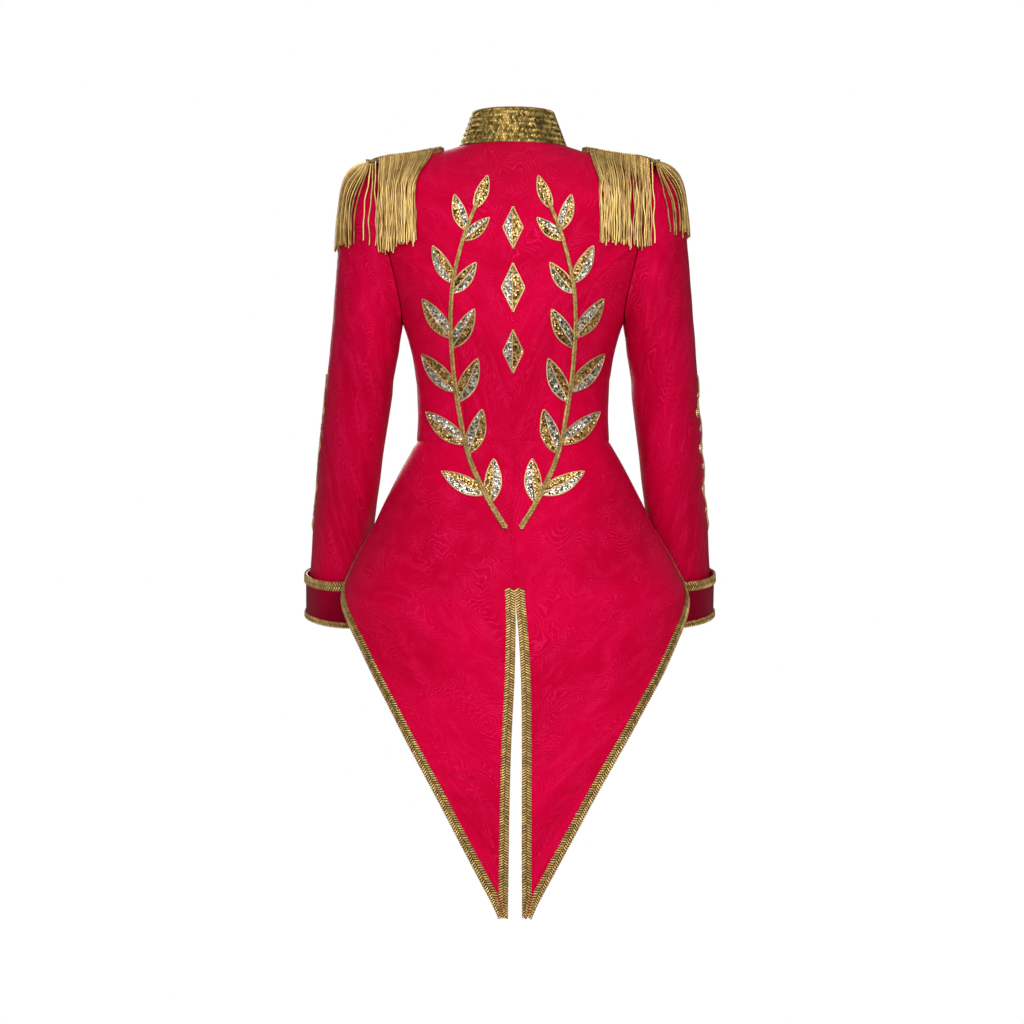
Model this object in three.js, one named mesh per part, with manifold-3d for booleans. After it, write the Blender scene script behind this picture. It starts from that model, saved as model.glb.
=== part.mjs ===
// A ringmaster's tailcoat, filled out as it is worn and open inside: a fitted bodice cut with princess
// seams, a flared pair of pointed tails behind, set-in sleeves with squared heads and turn-back cuffs,
// a braided stand collar, fringed epaulettes and a raised sequin design on the back.
// Millimetres, +Z up. The wearer faces -Y, so the tails and the sequin design are on the +Y side, and
// the wearer's left arm is at +X. The origin is level with the nape, in the middle of the neck.
import * as THREE from "three";
import { mergeVertices } from "three/addons/utils/BufferGeometryUtils.js";
import Module from "manifold-3d";

const wasm = await Module();
wasm.setup();

// Driving dimensions
const CLOTH = 2; // the faced and interlined jacquard
const SEAM = 0.3; // between two pieces at a seam
const LIFT = 0.4; // between a panel and a trim sewn on it
const BRAID = 12; // width of the metallic braid on the edges
const BRAID_THICK = 1.6;
const COLLAR_ROWS = 6; // rows of narrow braid that cover the collar
const LAP = 14; // how far each front passes the centre line
const BUTTONS = 5;
const BUTTON_RADIUS = 8;
const SQUARENESS = 2.25; // 2 is an ellipse; more is squarer

const RED = { color: 0xb80535, roughness: 0.55, metalness: 0 };
const GOLD = { color: 0xb08a3c, roughness: 0.4, metalness: 0.7 };
const SEQUIN = { color: 0xb9a24e, roughness: 0.25, metalness: 0.9 };
const BLACK = { color: 0x14110f, roughness: 0.9, metalness: 0 };

const rad = THREE.MathUtils.degToRad;
const deg = THREE.MathUtils.radToDeg;
const mix = THREE.MathUtils.lerp;
const smooth = THREE.MathUtils.smoothstep;
const vec = (x, y, z) => new THREE.Vector3(x, y, z);

// A table whose named columns are each read as a smooth curve over its first column.
function table(names, rows) {
  const keys = rows.map((r) => r[0]);
  const slope = (c, i) => {
    const a = Math.max(i - 1, 0);
    const b = Math.min(i + 1, rows.length - 1);
    return (rows[b][c] - rows[a][c]) / (keys[b] - keys[a]);
  };
  return (key) => {
    let i = 0;
    while (i < rows.length - 2 && (key - keys[i + 1]) * (keys[1] - keys[0]) > 0) i++;
    const span = keys[i + 1] - keys[i];
    const f = Math.min(Math.max((key - keys[i]) / span, 0), 1);
    const out = {};
    names.forEach((name, n) => {
      const c = n + 1;
      const bend0 = slope(c, i) * span;
      const bend1 = slope(c, i + 1) * span;
      const g = f * f * (3 - 2 * f);
      out[name] = mix(rows[i][c], rows[i + 1][c], g) + f * (1 - f) * ((1 - f) * bend0 - f * bend1);
    });
    return out;
  };
}

// A point of a body ring. 0 degrees is the centre back, 90 the wearer's left side, 180 the centre front.
function ringPoint(ring, degrees) {
  const s = Math.sin(rad(degrees));
  const c = Math.cos(rad(degrees));
  const r = (Math.abs(s) ** SQUARENESS + Math.abs(c) ** SQUARENESS) ** (-1 / SQUARENESS);
  const depth = c > 0 ? ring.back : ring.front;
  const z = c > 0 ? ring.zBack : ring.zFront;
  return vec(ring.halfWidth * s * r, depth * c * r, ring.zSide + (z - ring.zSide) * c * c);
}

// The way out from a surface that is read by its row and its angle, so that the two pieces at a seam
// have the same one there
function outwardAt(surface, row, degrees, rowStep) {
  const across = surface(row, degrees + 0.5).sub(surface(row, degrees - 0.5));
  const down = surface(row + rowStep, degrees).sub(surface(row - rowStep, degrees));
  return across.cross(down).normalize();
}

// The angle that moves a ring's point by a length in millimetres
function turnBy(ring, degrees, length) {
  const step = ringPoint(ring, degrees + 0.5).distanceTo(ringPoint(ring, degrees - 0.5));
  return length / step;
}

// A shell is a grid of outer points with their normals. Rows run downwards, and columns from the centre
// back towards the wearer's left, so that the cross product of the two points outwards.
function shellOf(rows, closed = false) {
  const last = rows.length - 1;
  const count = rows[0].length;
  const at = (i, j) => rows[i][closed ? (j + count) % count : Math.min(Math.max(j, 0), count - 1)];
  const normals = rows.map((row, i) =>
    row.map((_, j) => {
      const across = at(i, j + 1).clone().sub(at(i, j - 1));
      const down = at(Math.min(i + 1, last), j).clone().sub(at(Math.max(i - 1, 0), j));
      return across.cross(down).normalize();
    }),
  );
  return { rows, normals, closed };
}

// The piece of a shell between two rows and two columns, both included
function cutFrom(shell, row0, row1, column0, column1) {
  const pick = (grid) => grid.slice(row0, row1 + 1).map((r) => r.slice(column0, column1 + 1));
  return { rows: pick(shell.rows), normals: pick(shell.normals), closed: false };
}

// A closed solid from a shell: its inner face lies at lift from the shell's points, and its outer face
// at lift plus thickness, along their normals.
function slab(shell, lift, thickness) {
  const { rows, normals, closed } = shell;
  const m = rows.length;
  const n = rows[0].length;
  const position = [];
  for (const h of [lift + thickness, lift])
    rows.forEach((row, i) =>
      row.forEach((p, j) => {
        const q = p.clone().addScaledVector(normals[i][j], h);
        position.push(q.x, q.y, q.z);
      }),
    );
  const index = [];
  const outer = (i, j) => i * n + (j % n);
  const inner = (i, j) => m * n + outer(i, j);
  const quad = (a, b, c, d) => index.push(a, b, d, b, c, d);
  const columns = closed ? n : n - 1;
  for (let i = 0; i < m - 1; i++)
    for (let j = 0; j < columns; j++) {
      const outside = [outer(i, j), outer(i, j + 1), outer(i + 1, j + 1), outer(i + 1, j)];
      const inside = [inner(i, j), inner(i + 1, j), inner(i + 1, j + 1), inner(i, j + 1)];
      const onTheRight = rows[i][j].x + rows[i][(j + 1) % n].x < 0; // whose facets mirror the left ones
      const [a, b, c, d] = onTheRight ? outside : [...outside.slice(1), outside[0]];
      index.push(a, b, c, a, c, d);
      const [e, f, g, h] = onTheRight ? inside : [...inside.slice(1), inside[0]];
      index.push(e, f, g, e, g, h);
    }
  for (let j = 0; j < columns; j++) {
    quad(inner(0, j), inner(0, j + 1), outer(0, j + 1), outer(0, j));
    quad(outer(m - 1, j), outer(m - 1, j + 1), inner(m - 1, j + 1), inner(m - 1, j));
  }
  if (!closed)
    for (let i = 0; i < m - 1; i++) {
      quad(inner(i, 0), outer(i, 0), outer(i + 1, 0), inner(i + 1, 0));
      quad(outer(i, n - 1), inner(i, n - 1), inner(i + 1, n - 1), outer(i + 1, n - 1));
    }
  const geometry = new THREE.BufferGeometry();
  geometry.setAttribute("position", new THREE.Float32BufferAttribute(position, 3));
  geometry.setIndex(index);
  return geometry;
}

// The same solid for the wearer's right side
function mirrored(geometry) {
  const g = geometry.clone();
  g.scale(-1, 1, 1);
  const index = Array.from(g.index.array);
  for (let i = 0; i < index.length; i += 3) [index[i + 1], index[i + 2]] = [index[i + 2], index[i + 1]];
  g.setIndex(index);
  return g;
}

function solidOf(geometry) {
  const bare = new THREE.BufferGeometry();
  bare.setAttribute("position", geometry.getAttribute("position"));
  bare.setIndex(geometry.index);
  const merged = mergeVertices(bare, 1e-3);
  return new wasm.Manifold(
    new wasm.Mesh({
      numProp: 3,
      vertProperties: new Float32Array(merged.attributes.position.array),
      triVerts: new Uint32Array(merged.index.array),
    }),
  );
}

function geometryOf(solid) {
  const mesh = solid.getMesh();
  const position = [];
  for (let i = 0; i < mesh.numVert; i++)
    position.push(...mesh.vertProperties.subarray(i * mesh.numProp, i * mesh.numProp + 3));
  const geometry = new THREE.BufferGeometry();
  geometry.setAttribute("position", new THREE.Float32BufferAttribute(position, 3));
  geometry.setIndex(Array.from(mesh.triVerts));
  return geometry;
}

const joined = (geometries) => geometryOf(wasm.Manifold.union(geometries.map(solidOf)));

// Moves a hanging piece sideways by an amount that depends on the height
function swayed(geometry, sway) {
  const position = geometry.getAttribute("position");
  for (let i = 0; i < position.count; i++) position.setX(i, position.getX(i) + sway(position.getZ(i)).x);
  return geometry;
}

const tailSway = table(
  ["x"],
  [
    [-440, 0],
    [-560, -1],
    [-600, -3],
    [-640, -5],
    [-700, -6],
    [-800, -4.2],
    [-900, -3],
    [-1010, -2.5],
  ],
);
const sleeveSway = table(
  ["x"],
  [
    [-250, 0],
    [-320, 1.2],
    [-400, 2.6],
    [-480, 3.3],
    [-640, 4.5],
  ],
);

const coat = new THREE.Group();

function add(name, geometry, finish) {
  const mesh = new THREE.Mesh(geometry, new THREE.MeshStandardMaterial(finish));
  mesh.name = name;
  coat.add(mesh);
  return mesh;
}

function addPair(name, geometry, finish, sway = () => ({ x: 0 })) {
  add(name + "_right", swayed(mirrored(geometry), sway), finish);
  return add(name + "_left", swayed(geometry, sway), finish);
}

// The bodice's rings, from the neck over the shoulders to the waist. Level 3 passes over the shoulder
// tips, and level 9 under the arms; between them the sides lie inside the sleeve heads.
const bodiceRing = table(
  ["halfWidth", "back", "front", "zSide", "zBack", "zFront"],
  [
    [0, 70, 60, 62, 0, 0, -42],
    [1, 108, 77, 74, -10, -29, -62],
    [2, 148, 90, 84, -16.5, -57, -84],
    [3, 186, 99, 96, -21, -86, -108],
    [4, 201, 104, 108, -52, -115, -132],
    [5, 200, 107, 118, -92, -143, -156],
    [6, 190, 109, 127, -135, -172, -182],
    [7, 173, 110, 133, -178, -202, -208],
    [8, 157, 110, 136, -214, -226, -230],
    [9, 146, 109, 136, -238, -245, -247],
    [10, 138, 105, 133, -262, -266, -268],
    [11, 131.5, 98, 124, -292, -294, -296],
    [12, 128, 90, 112, -326, -327, -328],
    [13, 127, 84, 103, -360, -360, -360],
    [14, 128, 80, 98, -393, -393, -393],
  ],
);

// The armhole's edge, from the shoulder tip down to the armpit: level, then the angles behind and in front
const ARMHOLE = [
  [3.0, 90, 90],
  [3.18, 75, 104],
  [3.7, 64, 116],
  [4.5, 57.5, 123.5],
  [5.6, 55.5, 127.5],
  [6.8, 59, 126.5],
  [7.8, 66, 120],
  [8.6, 76, 107],
  [9.0, 90, 90],
];
const UNDERARM = ARMHOLE.length - 1;
const SHOULDER_LEVELS = [0, 1, 2];
const SIDE_LEVELS = [10, 11, 12, 13, 14];
const LEVELS = [...SHOULDER_LEVELS, ...ARMHOLE.map((a) => a[0]), ...SIDE_LEVELS];

// The princess seams leave the armhole at these steps of its edge, and run down to the waist.
const BACK_SEAM_STEP = 4;
const FRONT_SEAM_STEP = 5;
const TOP_CORNER = 0.6; // degrees left for the pointed top of a side panel
const backSeam = table(
  ["angle"],
  [
    [5.6, 55.5 - TOP_CORNER],
    [6.3, 41],
    [7.2, 34.5],
    [9, 33],
    [11, 31.5],
    [14, 28],
  ],
);
const frontSeam = table(
  ["angle"],
  [
    [6.8, 126.5 + TOP_CORNER],
    [7.8, 138],
    [9, 144],
    [11, 148],
    [14, 152],
  ],
);

const bodicePoint = (level, degrees) => ringPoint(bodiceRing(level), degrees);

// A bodice panel between two edges, each a function of the level and of the armhole step there
function bodicePanel(levels, edge0, edge1, columns) {
  const rows = [];
  const normals = [];
  for (const level of levels) {
    const ring = bodiceRing(level);
    const step = ARMHOLE.findIndex((a) => a[0] === level);
    const a = edge0(level, step, ring);
    const b = edge1(level, step, ring);
    const angles = columns.map((f) => mix(a, b, f));
    rows.push(angles.map((d) => ringPoint(ring, d)));
    normals.push(angles.map((d) => outwardAt(bodicePoint, level, d, 0.1)));
  }
  return { rows, normals, closed: false };
}

const evenly = (count) => Array.from({ length: count + 1 }, (_, i) => i / count);
const halfSeam = (ring, degrees) => turnBy(ring, degrees, SEAM / 2);

// The back's outer edge: shoulder seam, armhole, then princess seam
function backEdge(level, step, ring) {
  if (step > BACK_SEAM_STEP || (step < 0 && level > ARMHOLE[0][0]))
    return backSeam(level).angle - halfSeam(ring, backSeam(level).angle);
  if (step === BACK_SEAM_STEP) return backSeam(level).angle - halfSeam(ring, 55);
  return step > 0 ? ARMHOLE[step][1] : 90 - halfSeam(ring, 90);
}

function backSideInner(level, step, ring) {
  return backSeam(level).angle + halfSeam(ring, backSeam(level).angle);
}

function backSideOuter(level, step, ring) {
  return step >= 0 && step < UNDERARM ? ARMHOLE[step][1] : 90 - halfSeam(ring, 90);
}

function frontSideOuter(level, step, ring) {
  return step >= 0 && step < UNDERARM ? ARMHOLE[step][2] : 90 + halfSeam(ring, 90);
}

function frontSideInner(level, step, ring) {
  return frontSeam(level).angle - halfSeam(ring, frontSeam(level).angle);
}

function frontEdge(level, step, ring) {
  if (step >= FRONT_SEAM_STEP || (step < 0 && level > ARMHOLE[0][0]))
    return frontSeam(level).angle + halfSeam(ring, frontSeam(level).angle);
  return step > 0 ? ARMHOLE[step][2] : 90 + halfSeam(ring, 90);
}

const backPanel = bodicePanel(LEVELS, (l, s, r) => -backEdge(l, s, r), backEdge, evenly(10));
const backSidePanel = bodicePanel(
  LEVELS.filter((l) => l >= ARMHOLE[BACK_SEAM_STEP][0]),
  backSideInner,
  backSideOuter,
  evenly(6),
);
const frontSidePanel = bodicePanel(
  LEVELS.filter((l) => l >= ARMHOLE[FRONT_SEAM_STEP][0]),
  frontSideOuter,
  frontSideInner,
  evenly(4),
);

// A front runs from its edge to just past the centre. The one that lies underneath steps in by the
// thickness of the one on top, before it reaches it.
function frontPanel(underneath) {
  const FULL = 2.6; // in laps before the centre, where the step begins
  const CLEAR = 1.3; // where it ends
  const rows = [];
  const normals = [];
  for (const level of LEVELS) {
    const ring = bodiceRing(level);
    const step = ARMHOLE.findIndex((a) => a[0] === level);
    const edge = frontEdge(level, step, ring);
    const lap = turnBy(ring, 180, LAP);
    const angles = evenly(3).map((f) => mix(edge, 180 - FULL * lap, f));
    angles.push(180 - CLEAR * lap, 180, 180 + lap);
    const outward = angles.map((a) => outwardAt(bodicePoint, level, a, 0.1));
    const dip = underneath ? CLOTH + 2 * SEAM : 0;
    const depth = (a) => dip * smooth(a, 180 - FULL * lap, 180 - CLEAR * lap);
    rows.push(angles.map((a, j) => ringPoint(ring, a).addScaledVector(outward[j], -depth(a))));
    normals.push(outward);
  }
  return { rows, normals, closed: false };
}

add("back", slab(backPanel, -CLOTH, CLOTH), RED);
addPair("back_side", slab(backSidePanel, -CLOTH, CLOTH), RED);
addPair("front_side", slab(frontSidePanel, -CLOTH, CLOTH), RED);
add("front_left", slab(frontPanel(true), -CLOTH, CLOTH), RED);
add("front_right", mirrored(slab(frontPanel(false), -CLOTH, CLOTH)), RED);

// The stand collar: two rings, hooked edge to edge in front, and covered with rows of narrow braid
const COLLAR_TOP = { halfWidth: 53, back: 49, front: 51, zSide: 45, zBack: 46, zFront: -3 };
const COLLAR_END = 178.4; // degrees, either side of the hooked front edges
const COLLAR_STEPS = 16;

function collarShell() {
  const foot = bodiceRing(0);
  const angles = evenly(COLLAR_STEPS).map((f) => mix(-COLLAR_END, COLLAR_END, f));
  const raised = (p) => p.add(vec(0, 0, 3 * SEAM)); // its chords and the panels' differ a little
  return shellOf([
    angles.map((a) => ringPoint(COLLAR_TOP, a)),
    angles.map((a) => raised(ringPoint(foot, a))),
  ]);
}

function collarRow(shell, f0, f1) {
  const at = (grid, f) => grid[0].map((p, j) => p.clone().lerp(grid[1][j], f));
  return {
    rows: [at(shell.rows, f0), at(shell.rows, f1)],
    normals: [at(shell.normals, f0), at(shell.normals, f1)],
    closed: false,
  };
}

const collar = collarShell();
add("collar", slab(collar, -CLOTH, CLOTH), RED);
for (let i = 0; i < COLLAR_ROWS; i++) {
  const gap = 0.008; // of the collar's height, between two rows
  const row = collarRow(collar, i / COLLAR_ROWS + gap, (i + 1) / COLLAR_ROWS - gap);
  add("collar_braid_" + (i + 1), slab(row, LIFT, BRAID_THICK), GOLD);
}

// The skirt's rings, from the waist seam down to the points of the tails
const skirtRing = table(
  ["halfWidth", "back", "front"],
  [
    [-393.4, 128.3, 80.3, 98.3],
    [-430, 149, 91, 108],
    [-470, 170, 102, 118],
    [-515, 192, 113, 127],
    [-560, 216, 122, 133],
    [-595, 230, 128, 137],
    [-640, 237, 133, 140],
    [-730, 242, 137, 143],
    [-860, 245, 139, 145],
    [-1006, 247, 140, 146],
  ],
);

function skirtPoint(z, degrees) {
  const ring = skirtRing(z);
  return ringPoint({ ...ring, zSide: z, zBack: z, zFront: z }, degrees);
}

// One tail, from the centre seam and the vent beside it round to the cutaway edge in front. The edge's
// angle falls from the waist in front to the point behind, and the vent opens downwards.
const tailEdge = table(
  ["angle", "vent"],
  [
    [-393.4, 151, 0.15],
    [-412, 141, 0.15],
    [-436, 129, 0.15],
    [-462, 118, 0.15],
    [-490, 106.6, 0.15],
    [-520, 98.2, 0.15],
    [-550, 96.2, 0.15],
    [-572, 94.6, 0.15],
    [-584, 89.4, 0.2],
    [-600, 80.5, 0.3],
    [-622, 69.8, 1],
    [-655, 58.4, 2.6],
    [-700, 48.4, 4.3],
    [-750, 39.2, 6.1],
    [-805, 30.8, 7.3],
    [-860, 23, 8],
    [-915, 16, 8.4],
    [-960, 10.3, 8.8],
    [-988, 6.8, 9.1],
    [-1006, 4.9, 9.4],
  ],
);
const TAIL_LEVELS = [
  -393.4, -412, -436, -462, -490, -520, -550, -572, -584, -600, -622, -655, -700, -750, -805, -860, -915, -960,
  -988, -1006,
];
const VENT_TOP = TAIL_LEVELS.indexOf(-584);
const TAIL_INNER_COLUMNS = 7;

// Soft waves of a hanging tail: height, angle, half height, half angle and depth
const TAIL_WAVES = [
  [-700, 30, 70, 12, 3.5],
  [-800, 14, 50, 9, -2.5],
  [-560, 62, 60, 16, -3],
];

function tailPoint(z, degrees) {
  const p = skirtPoint(z, degrees);
  for (const [height, angle, halfHeight, halfAngle, depth] of TAIL_WAVES) {
    const fall = Math.exp(-(((z - height) / halfHeight) ** 2) - ((degrees - angle) / halfAngle) ** 2);
    p.y += depth * fall;
  }
  return p;
}

function tailShell() {
  const normals = [];
  const spanOf = (z, a) => tailPoint(z, a + 0.5).distanceTo(tailPoint(z, a - 0.5));
  const rows = TAIL_LEVELS.map((z, i) => {
    const { angle, vent } = tailEdge(z);
    const inside = deg(Math.asin(vent / skirtRing(z).halfWidth));
    const above = tailPoint(TAIL_LEVELS[Math.max(i - 1, 0)], tailEdge(TAIL_LEVELS[Math.max(i - 1, 0)]).angle);
    const next = Math.min(i + 1, TAIL_LEVELS.length - 1);
    const below = tailPoint(TAIL_LEVELS[next], tailEdge(TAIL_LEVELS[next]).angle);
    const along = below.sub(above).normalize();
    const across = tailPoint(z, angle + 0.5).sub(tailPoint(z, angle - 0.5)).normalize();
    const width = BRAID / along.cross(across).length();
    const total = (angle - inside) * spanOf(z, angle / 2);
    const middle = 0.35 * TAIL_INNER_COLUMNS; // the least that is left between the two braids
    const fit = Math.min(1, (total - middle) / (BRAID + width));
    const a = inside + (fit * BRAID) / spanOf(z, inside);
    const b = angle - (fit * width) / spanOf(z, angle);
    const angles = [inside, ...evenly(TAIL_INNER_COLUMNS).map((f) => mix(a, b, f)), angle];
    normals.push(angles.map((d) => outwardAt(tailPoint, z, d, -4)));
    return angles.map((d) => tailPoint(z, d));
  });
  return { rows, normals, closed: false };
}

const tail = tailShell();
const lastTailRow = TAIL_LEVELS.length - 1;
const lastTailColumn = tail.rows[0].length - 1;
addPair("tail", slab(tail, -CLOTH, CLOTH), RED, tailSway);
addPair(
  "tail_braid",
  slab(cutFrom(tail, 0, lastTailRow, lastTailColumn - 1, lastTailColumn), LIFT, BRAID_THICK),
  GOLD,
  tailSway,
);
addPair("vent_braid", slab(cutFrom(tail, VENT_TOP, lastTailRow, 0, 1), LIFT, BRAID_THICK), GOLD, tailSway);

// The sleeve's rings after the armhole: the outermost and innermost point of each, then its centre's
// depth, how far the ring reaches behind and in front, and how much lower it is behind
const SLEEVE_RINGS = [
  [204, -26.5, 147.4, -241, 0, 62, 76, 0],
  [216, -37, 148, -246, 0, 62, 74, 0],
  [223.5, -56, 149, -252, 0, 61.5, 72, 0],
  [227.5, -84, 150, -259, 0, 61, 69, 0],
  [231.5, -122, 151, -269, 0, 60, 66, 0],
  [236, -172, 153, -284, -1, 58, 62, 0.02],
  [240.5, -228, 156, -308, -3, 56, 58, 0.04],
  [246, -290, 161, -343, -7, 53, 55, 0.08],
  [252, -352, 168, -388, -16, 50, 52, 0.13],
  [258.5, -414, 175, -438, -31, 48, 49, 0.18],
  [264.5, -474, 182, -490, -48, 46, 46, 0.21],
  [269.5, -530, 188, -542, -64, 44, 44, 0.23],
  [273, -580, 191.5, -590, -77, 42.5, 42.5, 0.23],
  [275.5, -626, 194, -636, -88, 41.5, 41.5, 0.23],
];
const SLEEVE_STEPS = 2 * UNDERARM; // columns round the sleeve

// Soft troughs and swells of the cloth: ring, column, half length in rings, half width in columns, depth
const SLEEVE_FOLDS = [
  [5.5, 11.5, 1.6, 1.2, -3],
  [8.6, 13.2, 1.0, 1.8, -2.5],
  [9.6, 4.0, 0.9, 2.0, -2.5],
  [3.4, 14.6, 1.6, 1.2, 2],
];

function sleevePoint(ring, column) {
  const [xo, zo, xi, zi, y, behind, inFront, lean] = ring;
  const angle = (-2 * Math.PI * column) / SLEEVE_STEPS;
  const c = Math.cos(angle);
  const s = Math.sin(angle);
  const depth = (s > 0 ? behind : inFront) * s;
  return vec(mix(xi, xo, (1 + c) / 2), y + depth, mix(zi, zo, (1 + c) / 2) - depth * lean);
}

function armholePoint(column) {
  const behind = column > UNDERARM;
  const step = behind ? SLEEVE_STEPS - column : column;
  const [level, backAngle, frontAngle] = ARMHOLE[step];
  return ringPoint(bodiceRing(level), behind ? backAngle : frontAngle).add(vec(SEAM + 0.1, 0, 0));
}

function sleeveShell() {
  const columns = Array.from({ length: SLEEVE_STEPS }, (_, i) => i);
  const rows = [columns.map(armholePoint), ...SLEEVE_RINGS.map((r) => columns.map((c) => sleevePoint(r, c)))];
  const { normals } = shellOf(rows, true);
  rows.forEach((row, i) =>
    row.forEach((p, j) => {
      for (const [ring, column, length, width, depth] of SLEEVE_FOLDS) {
        const fall = Math.exp(-(((i - ring) / length) ** 2) - ((j - column) / width) ** 2);
        if (i > 0) p.addScaledVector(normals[i][j], depth * fall);
      }
    }),
  );
  return shellOf(rows, true);
}

const sleeve = sleeveShell();
const sleeveMesh = addPair("sleeve", slab(sleeve, -CLOTH, CLOTH), RED, sleeveSway);

// The turn-back cuff stands off the sleeve, more at its top than at its hem, with a braid at each edge.
const CUFF_TOP = 67; // height above its hem
const CUFF_DIP = 0.11; // fall of the top edge towards the outside of the arm, per millimetre across
const CUFF_ROWS = [
  // height above the hem, and how far the cuff's outer face stands off the sleeve
  [67, 6.2],
  [55, 5.4],
  [7, 3.2],
  [0, 3],
];

function cuffShell() {
  const [upper, lower] = [sleeve.rows.at(-2), sleeve.rows.at(-1)];
  const length = upper[0].distanceTo(lower[0]);
  const [upperNormal, lowerNormal] = [sleeve.normals.at(-2), sleeve.normals.at(-1)];
  const rows = CUFF_ROWS.map(([height, off]) =>
    lower.map((p, j) => {
      const f = height / length;
      const normal = lowerNormal[j].clone().lerp(upperNormal[j], Math.min(f, 1));
      const point = p.clone().lerp(upper[j], f).addScaledVector(normal.normalize(), off);
      point.z -= ((CUFF_DIP * height) / CUFF_TOP) * Math.max(point.x - 205, 0);
      return point;
    }),
  );
  return shellOf(rows, true);
}

const cuff = cuffShell();
const cuffBand = (from, to) => ({ rows: cuff.rows.slice(from, to), normals: cuff.normals.slice(from, to), closed: true });
addPair("cuff", slab(cuff, -CLOTH, CLOTH), RED, sleeveSway);
addPair("cuff_top_braid", slab(cuffBand(0, 2), LIFT, BRAID_THICK), GOLD, sleeveSway);
addPair("cuff_hem_braid", slab(cuffBand(2, 4), LIFT, BRAID_THICK), GOLD, sleeveSway);

// Finds where a line meets the cloth, so that what lies on it follows the panels that are there
const caster = new THREE.Raycaster();
coat.updateMatrixWorld(true);

function hitOn(meshes, from, direction) {
  caster.set(from, direction);
  return caster.intersectObjects(meshes, false)[0];
}

const meshNamed = (name) => coat.getObjectByName(name);
const FAR = 600;

// Shank buttons down the centre front, on the lap
function buttonGeometry() {
  const profile = [
    [0, 0],
    [2.2, 0],
    [2.2, 1.6],
    [BUTTON_RADIUS, 2.2],
    [BUTTON_RADIUS * 0.94, 3.8],
    [BUTTON_RADIUS * 0.55, 5.2],
    [0, 5.7],
  ];
  const lathe = new THREE.LatheGeometry(
    profile.map(([r, h]) => new THREE.Vector2(r, h)),
    8,
  );
  lathe.deleteAttribute("normal");
  lathe.deleteAttribute("uv");
  return mergeVertices(lathe, 1e-3);
}

const FIRST_BUTTON = -66;
const LAST_BUTTON = -376;
for (let i = 0; i < BUTTONS; i++) {
  const z = mix(FIRST_BUTTON, LAST_BUTTON, i / (BUTTONS - 1));
  const hit = hitOn([meshNamed("front_right")], vec(0.5, -FAR, z), vec(0, 1, 0));
  const normal = hit.face.normal.clone().normalize();
  const button = add("button_" + (i + 1), buttonGeometry(), GOLD);
  button.quaternion.setFromUnitVectors(vec(0, 1, 0), normal);
  button.position.copy(hit.point.addScaledVector(normal, LIFT));
}

// The epaulette's stiff board: a tongue that lies along the shoulder, and hardly bends over it
const BOARD_INNER = 92;
const BOARD_OUTER = 193;
const BOARD_THICK = 2.4;
const BOARD_DROP = 0.3; // the share of the shoulder's fall that the board follows
const boardHalf = table(
  ["behind", "inFront"],
  [
    [BOARD_INNER, 15, 14],
    [100, 20, 18],
    [118, 31, 26],
    [150, 41, 36],
    [176, 46, 42],
    [BOARD_OUTER, 44, 41],
  ],
);
const CLOTH_UNDER = [meshNamed("back"), meshNamed("front_left"), sleeveMesh];

function clothHeight(x, y) {
  const hit = hitOn(CLOTH_UNDER, vec(x, y, FAR), vec(0, 0, -1));
  return hit.point.z;
}

// f runs from the neck outwards, and g from the front edge, -1, to the back edge, 1
function boardPoint(f, g) {
  const x = mix(BOARD_INNER, BOARD_OUTER, f);
  const half = boardHalf(x);
  const y = g * (g > 0 ? half.behind : half.inFront);
  const ridge = Math.max(clothHeight(x, 2), clothHeight(x, -2));
  const fall = ridge - Math.min(clothHeight(x, y), ridge);
  return vec(x, y, ridge + LIFT + 1.3 - BOARD_DROP * fall);
}

const BOARD_STATIONS = [0, 0.1, 0.3, 0.5, 0.7, 0.86, 1];
const BOARD_WIDTHS = [-1, -0.5, -0.15, 0.15, 0.5, 1];

// A point on the board's edge as it is cut, straight between its stations
function boardEdge(f, g) {
  const i = Math.max(1, BOARD_STATIONS.findIndex((s) => s >= f));
  const [a, b] = [BOARD_STATIONS[i - 1], BOARD_STATIONS[i]];
  return boardPoint(a, g).lerp(boardPoint(b, g), (f - a) / (b - a));
}
function boardSlab() {
  const rows = BOARD_WIDTHS.map((g) => BOARD_STATIONS.map((f) => boardPoint(f, g)));
  const normals = rows.map((row) => row.map(() => vec(0, 0, 1)));
  return slab({ rows, normals, closed: false }, 0, BOARD_THICK);
}

addPair("epaulette", boardSlab(), BLACK);

// The fringe hangs from a header of woven cord round the board's back, end and front edges. Each strand
// leaves the header, follows the cloth below it where that stands out, and hangs straight from there.
const HEADER_THICK = 2;
const HEADER_RISE = 1;
const HEADER_DROP = 3.5;
const FRINGE_LENGTH = 112;
const STRAND = 0.95; // radius of a strand

function headerLine() {
  const line = [];
  for (const f of [0.1, 0.3, 0.5, 0.7, 0.86]) line.push([boardPoint(f, 1), vec(0, 1, 0)]);
  line.push([boardPoint(1, 1), vec(0.7, 0.7, 0)]);
  for (const g of [0.5, 0, -0.5]) line.push([boardPoint(1, g), vec(1, 0, 0)]);
  line.push([boardPoint(1, -1), vec(0.7, -0.7, 0)]);
  for (const f of [0.86, 0.7, 0.5, 0.3, 0.1]) line.push([boardPoint(f, -1), vec(0, -1, 0)]);
  return line;
}

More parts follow.
